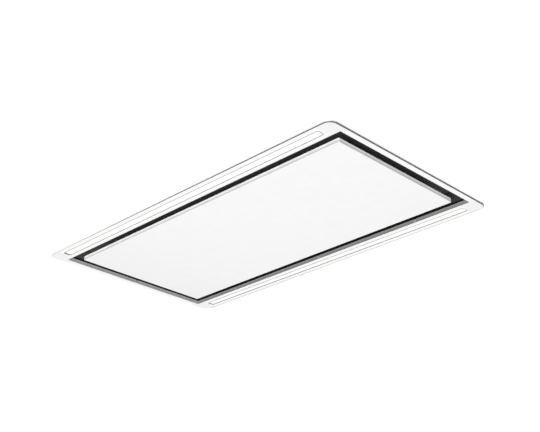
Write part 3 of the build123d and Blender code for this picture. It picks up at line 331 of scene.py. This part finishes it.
def frame_tone_with_painted_shade(tree, at):
    """White, with painted shade that darkens it a little in the corners, past the ends of the light
    strips.
    """
    end = ramp(tree, coordinate(tree, at, "X", sized=True), ((0.450, 0.0), (0.464, 1.0)))
    side = ramp(tree, coordinate(tree, at, "Y", sized=True), ((0.215, 0.0), (0.240, 1.0)))
    return ramp(tree, combine(tree, "MULTIPLY", end, side), ((0.0, 0.8825), (1.0, 0.82)))


def panel_tone_with_painted_shade(tree, at):
    """White, with painted shade that darkens it a little towards the left end and the rear edge."""
    along = ramp(tree, coordinate(tree, at, "X"), (
        (-0.45, 0.826), (-0.36, 0.834), (-0.22, 0.854), (0.0, 0.862), (0.45, 0.858)))
    across = ramp(tree, coordinate(tree, at, "Y"), ((-0.2, 1.0), (0.08, 0.995), (0.2, 0.985)))
    return combine(tree, "MULTIPLY", along, across)


# the frame's white coat, with painted shade in its corners
nodes["ceiling_frame"].data.materials[0] = placed_coat(
    "powder_coat_frame_painted_shade", frame_tone_with_painted_shade, SATIN, mottle=0.01)
# the panel's white coat, with painted shade towards its left end and its rear edge
nodes["panel_face"].data.materials[0] = placed_coat(
    "powder_coat_panel_painted_shade", panel_tone_with_painted_shade, SATIN, mottle=0.012)
# painted shade on the white lips of the left end and the rear, darker towards their foot, and a
# painted shadow line on the front of the outer fold, darker towards the right
for name, axis, stops, chosen in (
    ("lip_left", "Z", ((-0.004, 0.40), (0.0, 0.41), (0.0025, 0.50), (0.005, 0.58)),
     lambda at, normal: on_lip(at, normal) and normal.x > 0.7),
    ("lip_rear", "Z", ((-0.004, 0.215), (0.0, 0.22), (0.003, 0.30), (0.005, 0.31)),
     lambda at, normal: on_lip(at, normal) and normal.y < -0.6),
    ("fold_front", "X", ((-0.47, 0.42), (-0.29, 0.28), (-0.1, 0.09), (0.05, 0.03)),
     lambda at, normal: on_fold(at, normal) and not to_rear(normal)),
):
    refinish("ceiling_frame", ramped_coat(name, axis, stops), chosen)
# a near black painted shadow line on the right and rear parts of the white outer fold
refinish(
    "ceiling_frame",
    finish("fold_rear_painted_shadow", grey(0.02), grey(0.03), 0.01, MATT),
    lambda at, normal: on_fold(at, normal) and to_rear(normal),
)
# painted shade on the white front and right rims, darker towards the right
for name, stops, chosen in (
    ("rim_front", ((-0.47, 0.78), (0.0, 0.62), (0.4, 0.58)),
     lambda at, normal: on_rim(at, normal) and not to_rear(normal) and normal.y < -0.1),
    ("rim_right", ((-0.5, 0.36), (0.5, 0.38)),
     lambda at, normal: on_rim(at, normal) and to_rear(normal)),
):
    refinish("ceiling_frame", ramped_coat(name, "X", stops), chosen)

# ---- the panel's front and right walls, with painted shade along their fold and painted light along their top
refinish(
    "panel_face",
    ramped_coat("panel_front_painted_light_and_shade", "Z", (
        (-0.005, 0.58), (-0.0016, 0.62), (-0.0002, 0.90), (0.005, 0.95)), SATIN),
    lambda at, normal: normal.y < -0.3 and normal.y < -abs(normal.x) and at.y < 0,
)
refinish(
    "panel_face",
    ramped_coat("panel_right_painted_light_and_shade", "Z", (
        (-0.005, 0.56), (-0.0025, 0.64), (-0.0008, 0.84), (0.001, 0.97), (0.005, 0.97)), SATIN),
    lambda at, normal: normal.x > 0.3 and normal.x >= -normal.y and at.x > 0,
)

# ---- the tray's underside, dark grey with painted light towards its right end, and its skirt, in painted shade with painted light in its corners
refinish(
    "suction_tray",
    ramped_coat("tray_underside_painted_light", "X", (
        (-0.5, 0.11), (0.42, 0.11), (0.46, 0.155)), (0.5, 0.62), 0.3),
    lambda at, normal: normal.z < -0.9,
)


def skirt_shade_and_light_tone(tree, at):
    """Near black, darker than the tray's black coat as painted shade, and lighter high up in the
    corners of the slot as painted light, most of all on the left.
    """
    share = combine(
        tree, "MULTIPLY",
        spread(tree, coordinate(tree, at, "X", sized=True), 0.0, 1.0, (0.405, 0.425)),
        spread(tree, coordinate(tree, at, "Z"), 0.0, 1.0, (0.010, 0.014)),
    )
    lightest = spread(tree, coordinate(tree, at, "X"), 0.11, 0.05, (-0.46, 0.46))
    made = tree.nodes.new("ShaderNodeMapRange")
    made.inputs["To Min"].default_value = 0.0075
    tree.links.new(lightest, made.inputs["To Max"])
    tree.links.new(share, made.inputs["Value"])
    return made.outputs["Result"]


SKIRT_TOP = 0.043
# painted shade on the skirt's upright sides, with painted light high in the slot's corners
refinish(
    "suction_tray",
    placed_coat("skirt_painted_shade_and_light", skirt_shade_and_light_tone, (0.8, 0.9), 0.15),
    lambda at, normal: abs(normal.z) < 0.5 and at.z < SKIRT_TOP,
)

# ---------------------------------------------------------------- mesh helpers
SQUARE = ((-1, -1), (1, -1), (1, 1), (-1, 1))
UP = Vector((0, 0, 1))
SHARP = math.radians(35)  # an edge that bends more than this isn't shaded smooth
TOUCH = 0.0001  # points this near to a level lie on it


def mesh_piece(name, made, slot, body):
    """A mesh object that rides on a body and takes the finish of a slot."""
    data = bpy.data.meshes.new(name)
    made.to_mesh(data)
    made.free()
    data.shade_smooth()
    data.set_sharp_from_angle(angle=SHARP)
    piece = bpy.data.objects.new(name, data)
    bpy.context.scene.collection.objects.link(piece)
    data.materials.append(finishes[slot])
    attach(piece, body)
    return piece


def extent(points):
    """The lowest and the highest corner of the box round some points."""
    return [Vector([pick(point[i] for point in points) for i in range(3)]) for pick in (min, max)]


def around(count):
    """The cosine and the sine of each of so many equal steps round a circle."""
    return [(math.cos(math.tau * k / count), math.sin(math.tau * k / count)) for k in range(count)]


def skin(made, rows, closed=False):
    """A tube through rings of as many corners, which ends where it began if it is closed."""
    count = len(rows[0])
    for first, second in zip(rows, rows[1:] + rows[:1] if closed else rows[1:]):
        for index in range(count):
            following = (index + 1) % count
            made.faces.new((first[index], first[following], second[following], second[index]))


def hoop(made, centre, x, radii):
    """A ring of corners round a line along X, with a radius for each corner."""
    return [
        made.verts.new((x, centre.y + radius * cosine, centre.z + radius * sine))
        for radius, (cosine, sine) in zip(radii, around(len(radii)))
    ]


def rounded_outline(length, width, radius, steps=6):
    """The corners of a level rectangle with round corners, in order."""
    points = []
    for x, y, turn in ((1, 1, 0), (-1, 1, 1), (-1, -1, 2), (1, -1, 3)):
        for step in range(steps + 1):
            angle = math.radians(90 * turn + 90 * step / steps)
            points.append((
                x * (length / 2 - radius) + radius * math.cos(angle),
                y * (width / 2 - radius) + radius * math.sin(angle),
            ))
    return points


# ---------------------------------------------------------------- filter sheets
STRAND_WIDTH, STRAND_THICKNESS = 0.0013, 0.0005
PITCH = 0.012  # from peak to peak along a strand
ROW = 0.0058  # from strand to strand
PEAK = 0.46  # the height of a peak over its strand's middle line, in rows
PEAK_TILT, SLOPE_TILT = 0.1, 0.75  # radians
SHEET_MARGIN = 0.0009  # from the outer sheets to the faces of the filter
GRIP_SIDE, GRIP_REAR = 0.009, 0.018  # what the sheets leave free round the latch's grip


def ribbon(made, stations):
    """A flat strand along a line in a level plane, through stations of a point and a tilt."""
    rings = []
    for index, (point, tilt) in enumerate(stations):
        before = stations[max(index - 1, 0)][0]
        after = stations[min(index + 1, len(stations) - 1)][0]
        along = (after - before).normalized()
        across = Vector((-along.y, along.x, 0))
        turn = Matrix.Rotation(tilt, 3, along)
        flat = turn @ across * (STRAND_WIDTH / 2)
        thick = turn @ Vector((0, 0, STRAND_THICKNESS / 2))
        rings.append([made.verts.new(point + u * flat + v * thick) for u, v in SQUARE])
    skin(made, rings)
    made.faces.new(rings[0][::-1])
    made.faces.new(rings[-1])


def expanded_sheet(made, low, high, level, keep_out, shift):
    """One sheet of expanded metal: zigzag strands that meet at their peaks."""
    half = PITCH / 2
    columns = int((high.x - low.x) / half)
    for line in range(int((high.y - low.y) / ROW) - 1):
        middle = low.y + (line + 1) * ROW
        runs = [[]]
        for column in range(columns + 1):
            up = 1 if (column + line + shift) % 2 else -1
            point = Vector((low.x + column * half, middle + up * ROW * PEAK, level))
            if keep_out[0].x < point.x < keep_out[1].x and point.y < keep_out[1].y:
                runs.append([])
                continue
            run = runs[-1]
            if run:
                run.append(((run[-1][0] + point) / 2, SLOPE_TILT))
            run.append((point, PEAK_TILT))
        for run in runs:
            if len(run) > 2:
                ribbon(made, run)


for side in ("left", "right"):
    low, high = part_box(f"filter_mesh_{side}")
    grip_low, grip_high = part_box(f"filter_latch_{side}")
    keep_out = (
        Vector((grip_low.x - GRIP_SIDE, low.y, low.z)),
        Vector((grip_high.x + GRIP_SIDE, grip_high.y + GRIP_REAR, high.z)),
    )
    levels = (low.z + SHEET_MARGIN, (low.z + high.z) / 2, high.z - SHEET_MARGIN)
    made = bmesh.new()
    for layer, level in enumerate(levels):
        expanded_sheet(made, low, high, level, keep_out, layer)
    weave = mesh_piece(f"filter_weave_{side}", made, "filter_aluminium", "root")
    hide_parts(f"filter_mesh_{side}")

# ---------------------------------------------------------------- seals of the light strips
# each fills the groove round its cover and laps over the cover's edge; it ends short of a white
# stop at the right end of the front cover, and narrows to the right over the rear cover

# the dark seal is partly painted shade: it stands in for the shaded groove round each cover, and
# its laps, widest at the left ends, paint the shade on the far walls of each cover's recess
# how far the lines of a seal lie outside the cover's edge, and the radius of their corners
GROOVE_WALL, RIM, COVER_WALL = (0.00036, 0.0056), (0.00020, 0.0055), (0.00004, 0.0053)
LAP_LINE_CORNER = 0.0044
SEAL_FACE, SEAL_EDGE = 0.00010, 0.00025  # above the frame's lowest face
LAP_GAP, SEAL_DEPTH = 0.00005, 0.0005  # below and above the cover's face
# how much shorter it is than its cover, what is left of its lap on the right half, and the laps
# on the left, the right, the front and the rear
for side, stop, narrowed, laps in (
    ("front", 0.0038, 1.0, (0.0036, 0.0004, 0.0006, 0.0006)),
    ("rear", 0.0, 0.6, (0.0024, 0.0002, 0.0013, 0.0018)),
):
    points = [vertex.co for vertex in nodes[f"led_diffuser_{side}"].data.vertices]
    face = min(point.z for point in points)
    low, high = extent([point for point in points if point.z < face + TOUCH])

    def outline(grow, radius):
        """The cover's edge, moved out by so much on its left, right, front and rear."""
        left, right, front, rear = grow
        x = (low.x - left + high.x + right - stop) / 2
        y = (low.y - front + high.y + rear) / 2
        length = high.x - low.x + left + right - stop
        width = high.y - low.y + front + rear
        return [(x + across, y + along) for across, along in rounded_outline(length, width, radius)]

    groove_wall, rim, cover_wall = (
        outline((grow,) * 4, radius) for grow, radius in (GROOVE_WALL, RIM, COVER_WALL)
    )
    bore = []
    for (x, y), (inner_x, inner_y) in zip(rim, outline([-lap for lap in laps], LAP_LINE_CORNER)):
        share = narrowed if x > 0 else 1.0
        bore.append((x + (inner_x - x) * share, y + (inner_y - y) * share))
    seal_face, lap_back, seal_back = frame_low.z + SEAL_FACE, face - LAP_GAP, face + SEAL_DEPTH
    made = bmesh.new()
    skin(made, [
        [made.verts.new((x, y, level)) for x, y in line]
        for line, level in (
            (groove_wall, frame_low.z + SEAL_EDGE), (rim, seal_face), (bore, seal_face),
            (bore, lap_back), (cover_wall, lap_back), (cover_wall, seal_back),
            (groove_wall, seal_back),
        )
    ], closed=True)
    bmesh.ops.recalc_face_normals(made, faces=made.faces)
    mesh_piece(f"strip_seal_and_painted_shade_{side}", made, "rubber", "root")

# ---------------------------------------------------------------- screws
# a pan head from its edge to its flat top, as shares of its radius and its height
PAN_HEAD = ((1.0, 0.3), (0.97, 0.55), (0.88, 0.8), (0.74, 0.95), (0.6, 1.0))
SHANK = 0.55  # the shank's radius, as a share of the head's
# a cross recess at the top and at its floor: its reach and half its width, as shares of the
# head's radius, and its level, as a share of the head's height
CROSS_TOP, CROSS_FLOOR = (0.5, 0.13, 1.0), (0.34, 0.08, 0.25)
SCREW_SIDES = 32
SAME_POINT = 0.000002  # corners this near to each other are one
LEVEL_DIGITS = 5  # levels are told apart by their first digits after the point


def lumps(data):
    """The separate lumps of a mesh, each as the points of its corners."""
    made = bmesh.new()
    made.from_mesh(data)
    bmesh.ops.remove_doubles(made, verts=made.verts, dist=SAME_POINT)
    found, met = [], set()
    for vertex in made.verts:
        if vertex in met:
            continue
        met.add(vertex)
        stack, lump = [vertex], []
        while stack:
            corner = stack.pop()
            lump.append(corner.co.copy())
            for edge in corner.link_edges:
                other = edge.other_vert(corner)
                if other not in met:
                    met.add(other)
                    stack.append(other)
        found.append(lump)
    made.free()
    return found


def screw(made, seat, axis, radius, height, shank, length):
    """A pan head screw with a cross recess, its seat at a point and its head along an axis."""
    turn = axis.to_track_quat("Z", "Y").to_matrix()

    def ring(points, level):
        return [made.verts.new(seat + turn @ Vector((x, y, level))) for x, y in points]

    def circle(reach, level):
        return ring([(reach * cosine, reach * sine) for cosine, sine in around(SCREW_SIDES)], level)

    def cross(reach, half, level):
        points = [(reach, half), (half, half), (half, reach)]
        for _ in range(3):
            points += [(-y, x) for x, y in points[-3:]]
        return ring(points, level)

    rings = [circle(shank, -length), circle(shank, 0.0), circle(radius, 0.0)]
    rings += [circle(radius * share, height * level) for share, level in PAN_HEAD]
    skin(made, rings)
    made.faces.new(rings[0][::-1])
    top, floor = (
        cross(radius * reach, radius * half, height * level)
        for reach, half, level in (CROSS_TOP, CROSS_FLOOR)
    )
    skin(made, [floor, top])
    made.faces.new(floor)
    rims = [
        made.edges.get((loop[index], loop[(index + 1) % len(loop)]))
        for loop in (rings[-1], top)
        for index in range(len(loop))
    ]
    bmesh.ops.triangle_fill(made, use_beauty=True, edges=rims)


def screws_for(name):
    """Detailed screws in the places of a node's plain ones, read from its mesh."""
    made = bmesh.new()
    for lump in lumps(nodes[name].data):
        low, high = extent(lump)
        levels = [sorted({round(point[i], LEVEL_DIGITS) for point in lump}) for i in range(3)]
        along = min(range(3), key=lambda i: len(levels[i]))
        first, seat, last = levels[along][0], levels[along][1], levels[along][-1]
        up = last - seat < seat - first
        axis = Vector((0.0, 0.0, 0.0))
        axis[along] = 1.0 if up else -1.0
        at = (low + high) / 2
        at[along] = seat
        radius = (high - low)[(along + 1) % 3] / 2
        head, length = (last - seat, seat - first) if up else (seat - first, last - seat)
        screw(made, at, axis, radius, head, radius * SHANK, length)
    bmesh.ops.recalc_face_normals(made, faces=made.faces)
    piece = mesh_piece(f"{name}_detailed", made, slot_of[name], "root")
    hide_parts(name)
    return piece


screws_for("casing_screws")
# the frame's screws get a grey of painted shade, matching the painted shade on the lips that they
# hold
screws_for("frame_screws").data.materials[0] = finish(
    "screw_painted_shade", grey(0.30), grey(0.36), 0.002, (0.55, 0.65))

# ---------------------------------------------------------------- the frame's painted shadow line
LINE_PROUD = 0.00003  # below the frame's face
LINE_SUNK = 0.0001
NEAR_INSET, REAR_INSET = 0.0011, 0.0009  # from the outline to the line's outer edge
ARC_STEPS = 12


def painted_shadow_band(name, stations):
    """A thin dark band on the frame's face, a painted shadow line along its edge, through stations
    of (x, y, inward, near, far).

    It reaches from near to far along inward, measured from the outline.
    """
    made = bmesh.new()
    rows = []
    for x, y, inward, near, far in stations:
        rows.append([
            made.verts.new((x + inward[0] * depth, y + inward[1] * depth, frame_low.z - below))
            for depth, below in (
                (near, -LINE_SUNK), (near, LINE_PROUD), (far, LINE_PROUD), (far, -LINE_SUNK),
            )
        ])
    skin(made, rows)
    made.faces.new(rows[0][::-1])
    made.faces.new(rows[-1])
    bmesh.ops.recalc_face_normals(made, faces=made.faces)
    mesh_piece(name, made, "rubber", "root")


def arc_stations(x, y, first, last, widths):
    """Stations round one corner of the outline, from an angle to another."""
    made = []
    for step in range(ARC_STEPS + 1):
        angle = math.radians(first + (last - first) * step / ARC_STEPS)
        out = (math.cos(angle), math.sin(angle))
        far = widths[0] + (widths[1] - widths[0]) * step / ARC_STEPS
        made.append((x + CORNER * out[0], y + CORNER * out[1], (-out[0], -out[1]), NEAR_INSET, far))
    return made


# a painted shadow line along the front, round the near corner and up the right end, widest at the
# corner, and a thinner one along the rear
arc_x, arc_y = frame_high.x - CORNER, frame_high.y - CORNER
painted_shadow_band("painted_shadow_line_near", [
    *(
        (x, -frame_high.y, (0, 1), NEAR_INSET, far)
        for x, far in ((-0.25, 0.00115), (0.0, 0.0014), (0.25, 0.0018))
    ),
    *arc_stations(arc_x, -arc_y, -90, 0, (0.0020, 0.0022)),
    *arc_stations(arc_x, arc_y, 0, 60, (0.0022, 0.00115)),
])
painted_shadow_band("painted_shadow_line_rear", [
    (x, frame_high.y, (0, -1), REAR_INSET, far)
    for x, far in ((-arc_x, 0.0023), (0.0, 0.0020), (arc_x, 0.0019))
])

# ---------------------------------------------------------------- seams, laps and beads
SHEET = 0.0012  # how far a flange or a lap stands proud
# profiles of raised pads: how far each outline is drawn in, and its level
SHEET_PROFILE = ((0, 0), (0, 0.0009), (0.0003, SHEET))
BEAD_PROFILE = (
    (0, 0), (0.0006, 0.0006), (0.002, 0.0017), (0.0035, 0.0025), (0.005, 0.0029), (0.0066, 0.003),
)
LEAST_CORNER = 0.0002
PAD_STEPS = 8  # in each of a pad's corners
RIVET_RADIUS, RIVET_HEIGHT = 0.0024, 0.0009
RIVET_STEPS, RIVET_SIDES = 5, 20
RIVETS = 4  # in each flange
FLANGE_CORNER = 0.004
FLANGE_FOOT = 0.004  # from what a flange stands on to its foot
CASING_FLANGE, BOX_FLANGE = 0.018, 0.016  # widths
CASING_EDGE, LID_EDGE = 0.003, 0.020  # from the tops of the casing and the box to the flanges


def pad(made, centre, along, outward, length, width, corner, profile):
    """A raised pad on a face, its outline drawn in and raised by each step of a profile."""
    across = outward.cross(along)
    rows = []
    for shrink, level in profile:
        outline = rounded_outline(
            length - 2 * shrink, width - 2 * shrink, max(corner - shrink, LEAST_CORNER), PAD_STEPS
        )
        rows.append([
            made.verts.new(centre + along * x + across * y + outward * level) for x, y in outline
        ])
    skin(made, rows)
    made.faces.new(rows[-1])
    made.faces.new(rows[0][::-1])


def rivet(made, at, outward):
    """A domed rivet head on a face."""
    turn = outward.to_track_quat("Z", "Y").to_matrix()
    rows = []
    for step in range(RIVET_STEPS):
        angle = math.pi / 2 * step / RIVET_STEPS
        reach, level = RIVET_RADIUS * math.cos(angle), RIVET_HEIGHT * math.sin(angle)
        rows.append([
            made.verts.new(at + turn @ Vector((reach * cosine, reach * sine, level)))
            for cosine, sine in around(RIVET_SIDES)
        ])
    skin(made, rows)
    made.faces.new(rows[-1])
    made.faces.new(rows[0][::-1])


def corner_seams(made, low, high, bottom, top, width):
    """The riveted corner flanges of a sheet box, folded on to its front and rear sides."""
    for side_x in (-1, 1):
        for side_y, y in ((-1, low.y), (1, high.y)):
            x = (high.x if side_x > 0 else low.x) - side_x * width / 2
            outward = Vector((0, side_y, 0))
            centre = Vector((x, y, (bottom + top) / 2))
            pad(made, centre, UP, outward, top - bottom, width, FLANGE_CORNER, SHEET_PROFILE)
            for index in range(RIVETS):
                level = bottom + (top - bottom) * (index + 0.5) / RIVETS
                rivet(made, Vector((x, y + side_y * SHEET, level)), outward)


casing_low, casing_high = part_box("casing_body")
box_points = [vertex.co for vertex in nodes["motor_box"].data.vertices]
box_top = max(point.z for point in box_points)
box_low, box_high = extent([point for point in box_points if point.z > box_top - TOUCH])
made = bmesh.new()
corner_seams(
    made, casing_low, casing_high, FLANGE_FOOT, casing_high.z - CASING_EDGE, CASING_FLANGE)
corner_seams(
    made, box_low, box_high, casing_high.z + FLANGE_FOOT, box_top - LID_EDGE, BOX_FLANGE)
mesh_piece("sheet_seams", made, "galvanised", "root")

# the lid of the motor box laps over its sides, apart from the side of the duct
LAP, LAP_CORNER = 0.018, 0.0015
SCREW_PLACES = (-0.8, 0.0, 0.8)  # along a lap, as shares of half its length
LAP_SCREW = (0.0036, 0.0016, 0.002, 0.001)  # head radius and height, shank radius and length
made = bmesh.new()
screws = bmesh.new()
middle = (box_low + box_high) / 2
half_x, half_y = (box_high.x - box_low.x) / 2, (box_high.y - box_low.y) / 2
for outward, half, reach in (
    (Vector((0, -1, 0)), half_x, middle.y - box_low.y),
    (Vector((0, 1, 0)), half_x, middle.y - box_low.y),
    (Vector((-1, 0, 0)), half_y, middle.x - box_low.x),
):
    along = UP.cross(outward)
    centre = Vector((middle.x, middle.y, box_top - LAP / 2)) + outward * reach
    pad(made, centre, along, outward, 2 * half + 2 * SHEET, LAP, LAP_CORNER, SHEET_PROFILE)
    for share in SCREW_PLACES:
        screw(screws, centre + along * half * share + outward * SHEET, outward, *LAP_SCREW)
bmesh.ops.recalc_face_normals(screws, faces=screws.faces)
mesh_piece("box_lid_laps", made, "galvanised", "root")
mesh_piece("box_lid_screws", screws, "steel", "root")

# stiffening beads pressed into the casing's top, clear of what stands on it: four along X on
# the left, and three along Y on the right
BEAD_WIDTH = 0.014
LEFT_X, LEFT_YS, LEFT_LENGTH = -0.315, (0.115, 0.160, -0.115, -0.160), 0.17
RIGHT_XS, RIGHT_Y, RIGHT_LENGTH = (0.285, 0.330, 0.375), 0.0, 0.30
made = bmesh.new()
for x, y, length, along in (
    *((LEFT_X, y, LEFT_LENGTH, Vector((1, 0, 0))) for y in LEFT_YS),
    *((x, RIGHT_Y, RIGHT_LENGTH, Vector((0, 1, 0))) for x in RIGHT_XS),
):
    centre = Vector((x, y, casing_high.z))
    pad(made, centre, along, UP, length, BEAD_WIDTH, BEAD_WIDTH / 2, BEAD_PROFILE)
mesh_piece("casing_beads", made, "galvanised", "root")

# a bead round the duct collar, behind its mouth
collar_low, collar_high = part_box("duct_collar")
collar_middle = (collar_low + collar_high) / 2
COLLAR_RADIUS = 0.0749
BEAD_BACK = 0.012  # from the mouth to the bead's middle
BEAD_HALF, BEAD_HEIGHT = 0.002, 0.0012
BEAD_STEPS, COLLAR_SIDES = 8, 96
made = bmesh.new()
rows = []
for step in range(BEAD_STEPS + 1):
    angle = math.pi * step / BEAD_STEPS
    x = collar_high.x - BEAD_BACK - BEAD_HALF * math.cos(angle)
    radius = COLLAR_RADIUS + BEAD_HEIGHT * math.sin(angle)
    rows.append(hoop(made, collar_middle, x, [radius] * COLLAR_SIDES))
skin(made, rows, closed=True)
bmesh.ops.recalc_face_normals(made, faces=made.faces)
mesh_piece("collar_bead", made, "grey_plastic", "root")

# ---------------------------------------------------------------- cable gland
# two hexagon nuts, one on each side of the box's wall, and a sleeve with a fluted cap and an
# open bore; distances are along -X from the wall, and so negative inside the box
gland_low, gland_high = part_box("cable_gland")
gland_middle = (gland_low + gland_high) / 2
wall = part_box("control_box")[0].x
nut_reach = (gland_high.z - gland_low.z) / 2
outer_end, inner_end = wall - gland_low.x, wall - gland_high.x
GLAND_BORE, NUT_BORE, SLEEVE, NECK, CAP = 0.0052, 0.0060, 0.0062, 0.0088, 0.0097  # radii
OUTER_NUT = 0.006  # the outer nut's outer face
INNER_NUT = -0.002  # the inner nut's face that bears on the wall
NECK_END = 0.0072
FLUTE = 0.0005
NUT_CHAMFER = 0.0008
NUT_ROUND = 0.9  # the radius that a nut's corners are cut back to, as a share of its reach
NUT_SIDES, CAP_SIDES = 48, 96


def turned(made, rows):
    """A closed ring round the gland's axis, from rows of a distance and the radii there."""
    skin(made, [hoop(made, gland_middle, wall - distance, radii) for distance, radii in rows], True)


def hexagon(made, near, far):
    """A nut between two distances, with its corners cut back at the second."""
    half_side, side = math.pi / 6, math.pi / 3
    radii = [
        nut_reach * (math.cos(half_side) / math.cos((angle + half_side) % side - half_side))
        for angle in (math.tau * k / NUT_SIDES for k in range(NUT_SIDES))
    ]
    cut_back = [min(radius, nut_reach * NUT_ROUND) for radius in radii]
    bore = [NUT_BORE] * NUT_SIDES
    turned(made, [
        (near, bore), (near, radii), (far - NUT_CHAMFER, radii), (far, cut_back), (far, bore),
    ])


made = bmesh.new()
hexagon(made, 0.0, OUTER_NUT)
hexagon(made, inner_end, INNER_NUT)
turned(made, [
    (distance, [radius - (depth if k % 4 in (0, 1) else 0.0) for k in range(CAP_SIDES)])
    for distance, radius, depth in (
        (inner_end, GLAND_BORE, 0.0), (inner_end, SLEEVE, 0.0), (OUTER_NUT, SLEEVE, 0.0),
        (OUTER_NUT, NECK, 0.0), (NECK_END, NECK, 0.0), (NECK_END, CAP, FLUTE),
        # the cap's rounded end
        (outer_end - 0.005, CAP, FLUTE), (outer_end - 0.003, 0.0090, FLUTE),
        (outer_end - 0.001, 0.0076, 0.0), (outer_end, 0.0064, 0.0), (outer_end, GLAND_BORE, 0.0),
    )
])
bmesh.ops.recalc_face_normals(made, faces=made.faces)
gland = mesh_piece("gland_body", made, "black_plastic", "root")
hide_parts("cable_gland")


# ---------------------------------------------------------------- ceiling and floor
STAGE_HALF = 40  # half the side of the ceiling and of the floor
FLOOR_LEVEL = -2.6
CUT_OUT = (0.4925, 0.276)  # half of the ceiling's opening, inside the frame's outline
STAGE_TONE = 0.62


def mix_shaders(tree, share, first, second):
    """The first shader where the share is 0, and the second where it is 1."""
    made = tree.nodes.new("ShaderNodeMixShader")
    for socket, value in zip(made.inputs, (share, first, second)):
        tree.links.new(value, socket)
    return made.outputs["Shader"]


def glowing(tree, kind, strength):
    """An Emission or Background node of white light."""
    made = tree.nodes.new(kind)
    made.inputs["Color"].default_value = (1, 1, 1, 1)
    made.inputs["Strength"].default_value = strength
    return made.outputs[0]


def one_sided(name, glow):
    """A matt surface that is only there when it is met from its front.

    It glows where the camera sees it, straight or mirrored, and not as a light on the object.
    """
    made = bpy.data.materials.new(name)
    made.use_nodes = True
    tree = made.node_tree
    tree.nodes.clear()
    matt = tree.nodes.new("ShaderNodeBsdfDiffuse")
    matt.inputs["Color"].default_value = (*grey(STAGE_TONE), 1)
    path = tree.nodes.new("ShaderNodeLightPath")
    seen = combine(
        tree, "MAXIMUM", path.outputs["Is Camera Ray"], path.outputs["Is Glossy Ray"]
    )
    extra = mix_shaders(
        tree, seen,
        glowing(tree, "ShaderNodeEmission", 0.0), glowing(tree, "ShaderNodeEmission", glow),
    )
    both = tree.nodes.new("ShaderNodeAddShader")
    tree.links.new(matt.outputs["BSDF"], both.inputs[0])
    tree.links.new(extra, both.inputs[1])
    side = tree.nodes.new("ShaderNodeNewGeometry")
    clear = tree.nodes.new("ShaderNodeBsdfTransparent")
    out = tree.nodes.new("ShaderNodeOutputMaterial")
    tree.links.new(
        mix_shaders(
            tree, side.outputs["Backfacing"], both.outputs["Shader"], clear.outputs["BSDF"]
        ),
        out.inputs["Surface"],
    )
    return made


def slab_plane(name, level, hole, faces_up, surface):
    """A level plane, with a rectangular cut-out where one is given."""
    made = bmesh.new()

    def corners(half_x, half_y):
        return [made.verts.new((x * half_x, y * half_y, level)) for x, y in SQUARE]

    outer = corners(STAGE_HALF, STAGE_HALF)
    if hole:
        skin(made, [outer, corners(*hole)])
    else:
        made.faces.new(outer)
    bmesh.ops.recalc_face_normals(made, faces=made.faces)
    for face in made.faces:
        face.normal_update()
        if (face.normal.z > 0) != faces_up:
            face.normal_flip()
    data = bpy.data.meshes.new(name)
    made.to_mesh(data)
    made.free()
    piece = bpy.data.objects.new(name, data)
    bpy.context.scene.collection.objects.link(piece)
    data.materials.append(surface)
    return piece


ceiling = slab_plane("ceiling", 0.0, CUT_OUT, False, one_sided("ceiling_paint", 0.42))
ceiling.visible_diffuse = False
floor = slab_plane("floor", FLOOR_LEVEL, None, True, one_sided("floor_paint", 0.60))
floor.visible_diffuse = False
floor.visible_glossy = False
floor.visible_shadow = False


# ---------------------------------------------------------------- lamps and world
def lamp(name, kind, towards, energy, at=(0, 0, 0)):
    """A lamp that shines one way, from a point where it isn't a sun."""
    data = bpy.data.lights.new(name, kind)
    data.energy = energy
    piece = bpy.data.objects.new(name, data)
    piece.location = at
    piece.rotation_mode = "QUATERNION"
    piece.rotation_quaternion = Vector(towards).to_track_quat("-Z", "Y")
    bpy.context.scene.collection.objects.link(piece)
    return piece


from_below = lamp("from_below", "SUN", (-0.40, 0.74, 0.54), 3.0)
from_below.data.angle = math.radians(40)
from_below.visible_glossy = False
lamp_at, lamp_target = Vector((0.6, -0.7, -1.5)), Vector((0.1, 0, 0))
near_lamp = lamp("near_lamp", "AREA", lamp_target - lamp_at, 2.6, lamp_at)
near_lamp.data.size = 0.8
near_lamp.visible_camera = False
from_above = lamp("from_above", "SUN", (-0.25, 0.45, -0.86), 1.1)
from_above.data.angle = math.radians(70)

# the world is white where it is seen, straight, mirrored or through a surface, and dimmer as
# the light on matt surfaces
world = bpy.data.worlds.new("studio")
bpy.context.scene.world = world
world.use_nodes = True
tree = world.node_tree
tree.nodes.clear()
path = tree.nodes.new("ShaderNodeLightPath")
seen = combine(
    tree, "MAXIMUM", path.outputs["Is Camera Ray"], path.outputs["Is Transmission Ray"]
)
seen = combine(tree, "MAXIMUM", seen, path.outputs["Is Glossy Ray"])
out = tree.nodes.new("ShaderNodeOutputWorld")
tree.links.new(
    mix_shaders(
        tree, seen,
        glowing(tree, "ShaderNodeBackground", 0.49), glowing(tree, "ShaderNodeBackground", 1.0),
    ),
    out.inputs["Surface"],
)

# ---------------------------------------------------------------- camera
# the photograph's view, from below, in front and to the right; the focal length and the
# sensor's width are in millimetres, as Blender has them
azimuth, elevation = math.radians(44.568), math.radians(25.738)
ahead = Vector((
    -math.sin(azimuth) * math.cos(elevation),
    math.cos(azimuth) * math.cos(elevation),
    math.sin(elevation),
))
camera = bpy.data.objects.new("camera", bpy.data.cameras.new("camera"))
bpy.context.scene.collection.objects.link(camera)
camera.data.sensor_width = 36
camera.data.lens = 68.585
camera.data.clip_start = 0.05
camera.data.clip_end = 200
camera.location = (1.68119, -1.65875, -1.09599)
camera.rotation_mode = "QUATERNION"
camera.rotation_quaternion = ahead.to_track_quat("-Z", "Y")
bpy.context.scene.camera = camera
bpy.context.scene.view_settings.view_transform = "Standard"
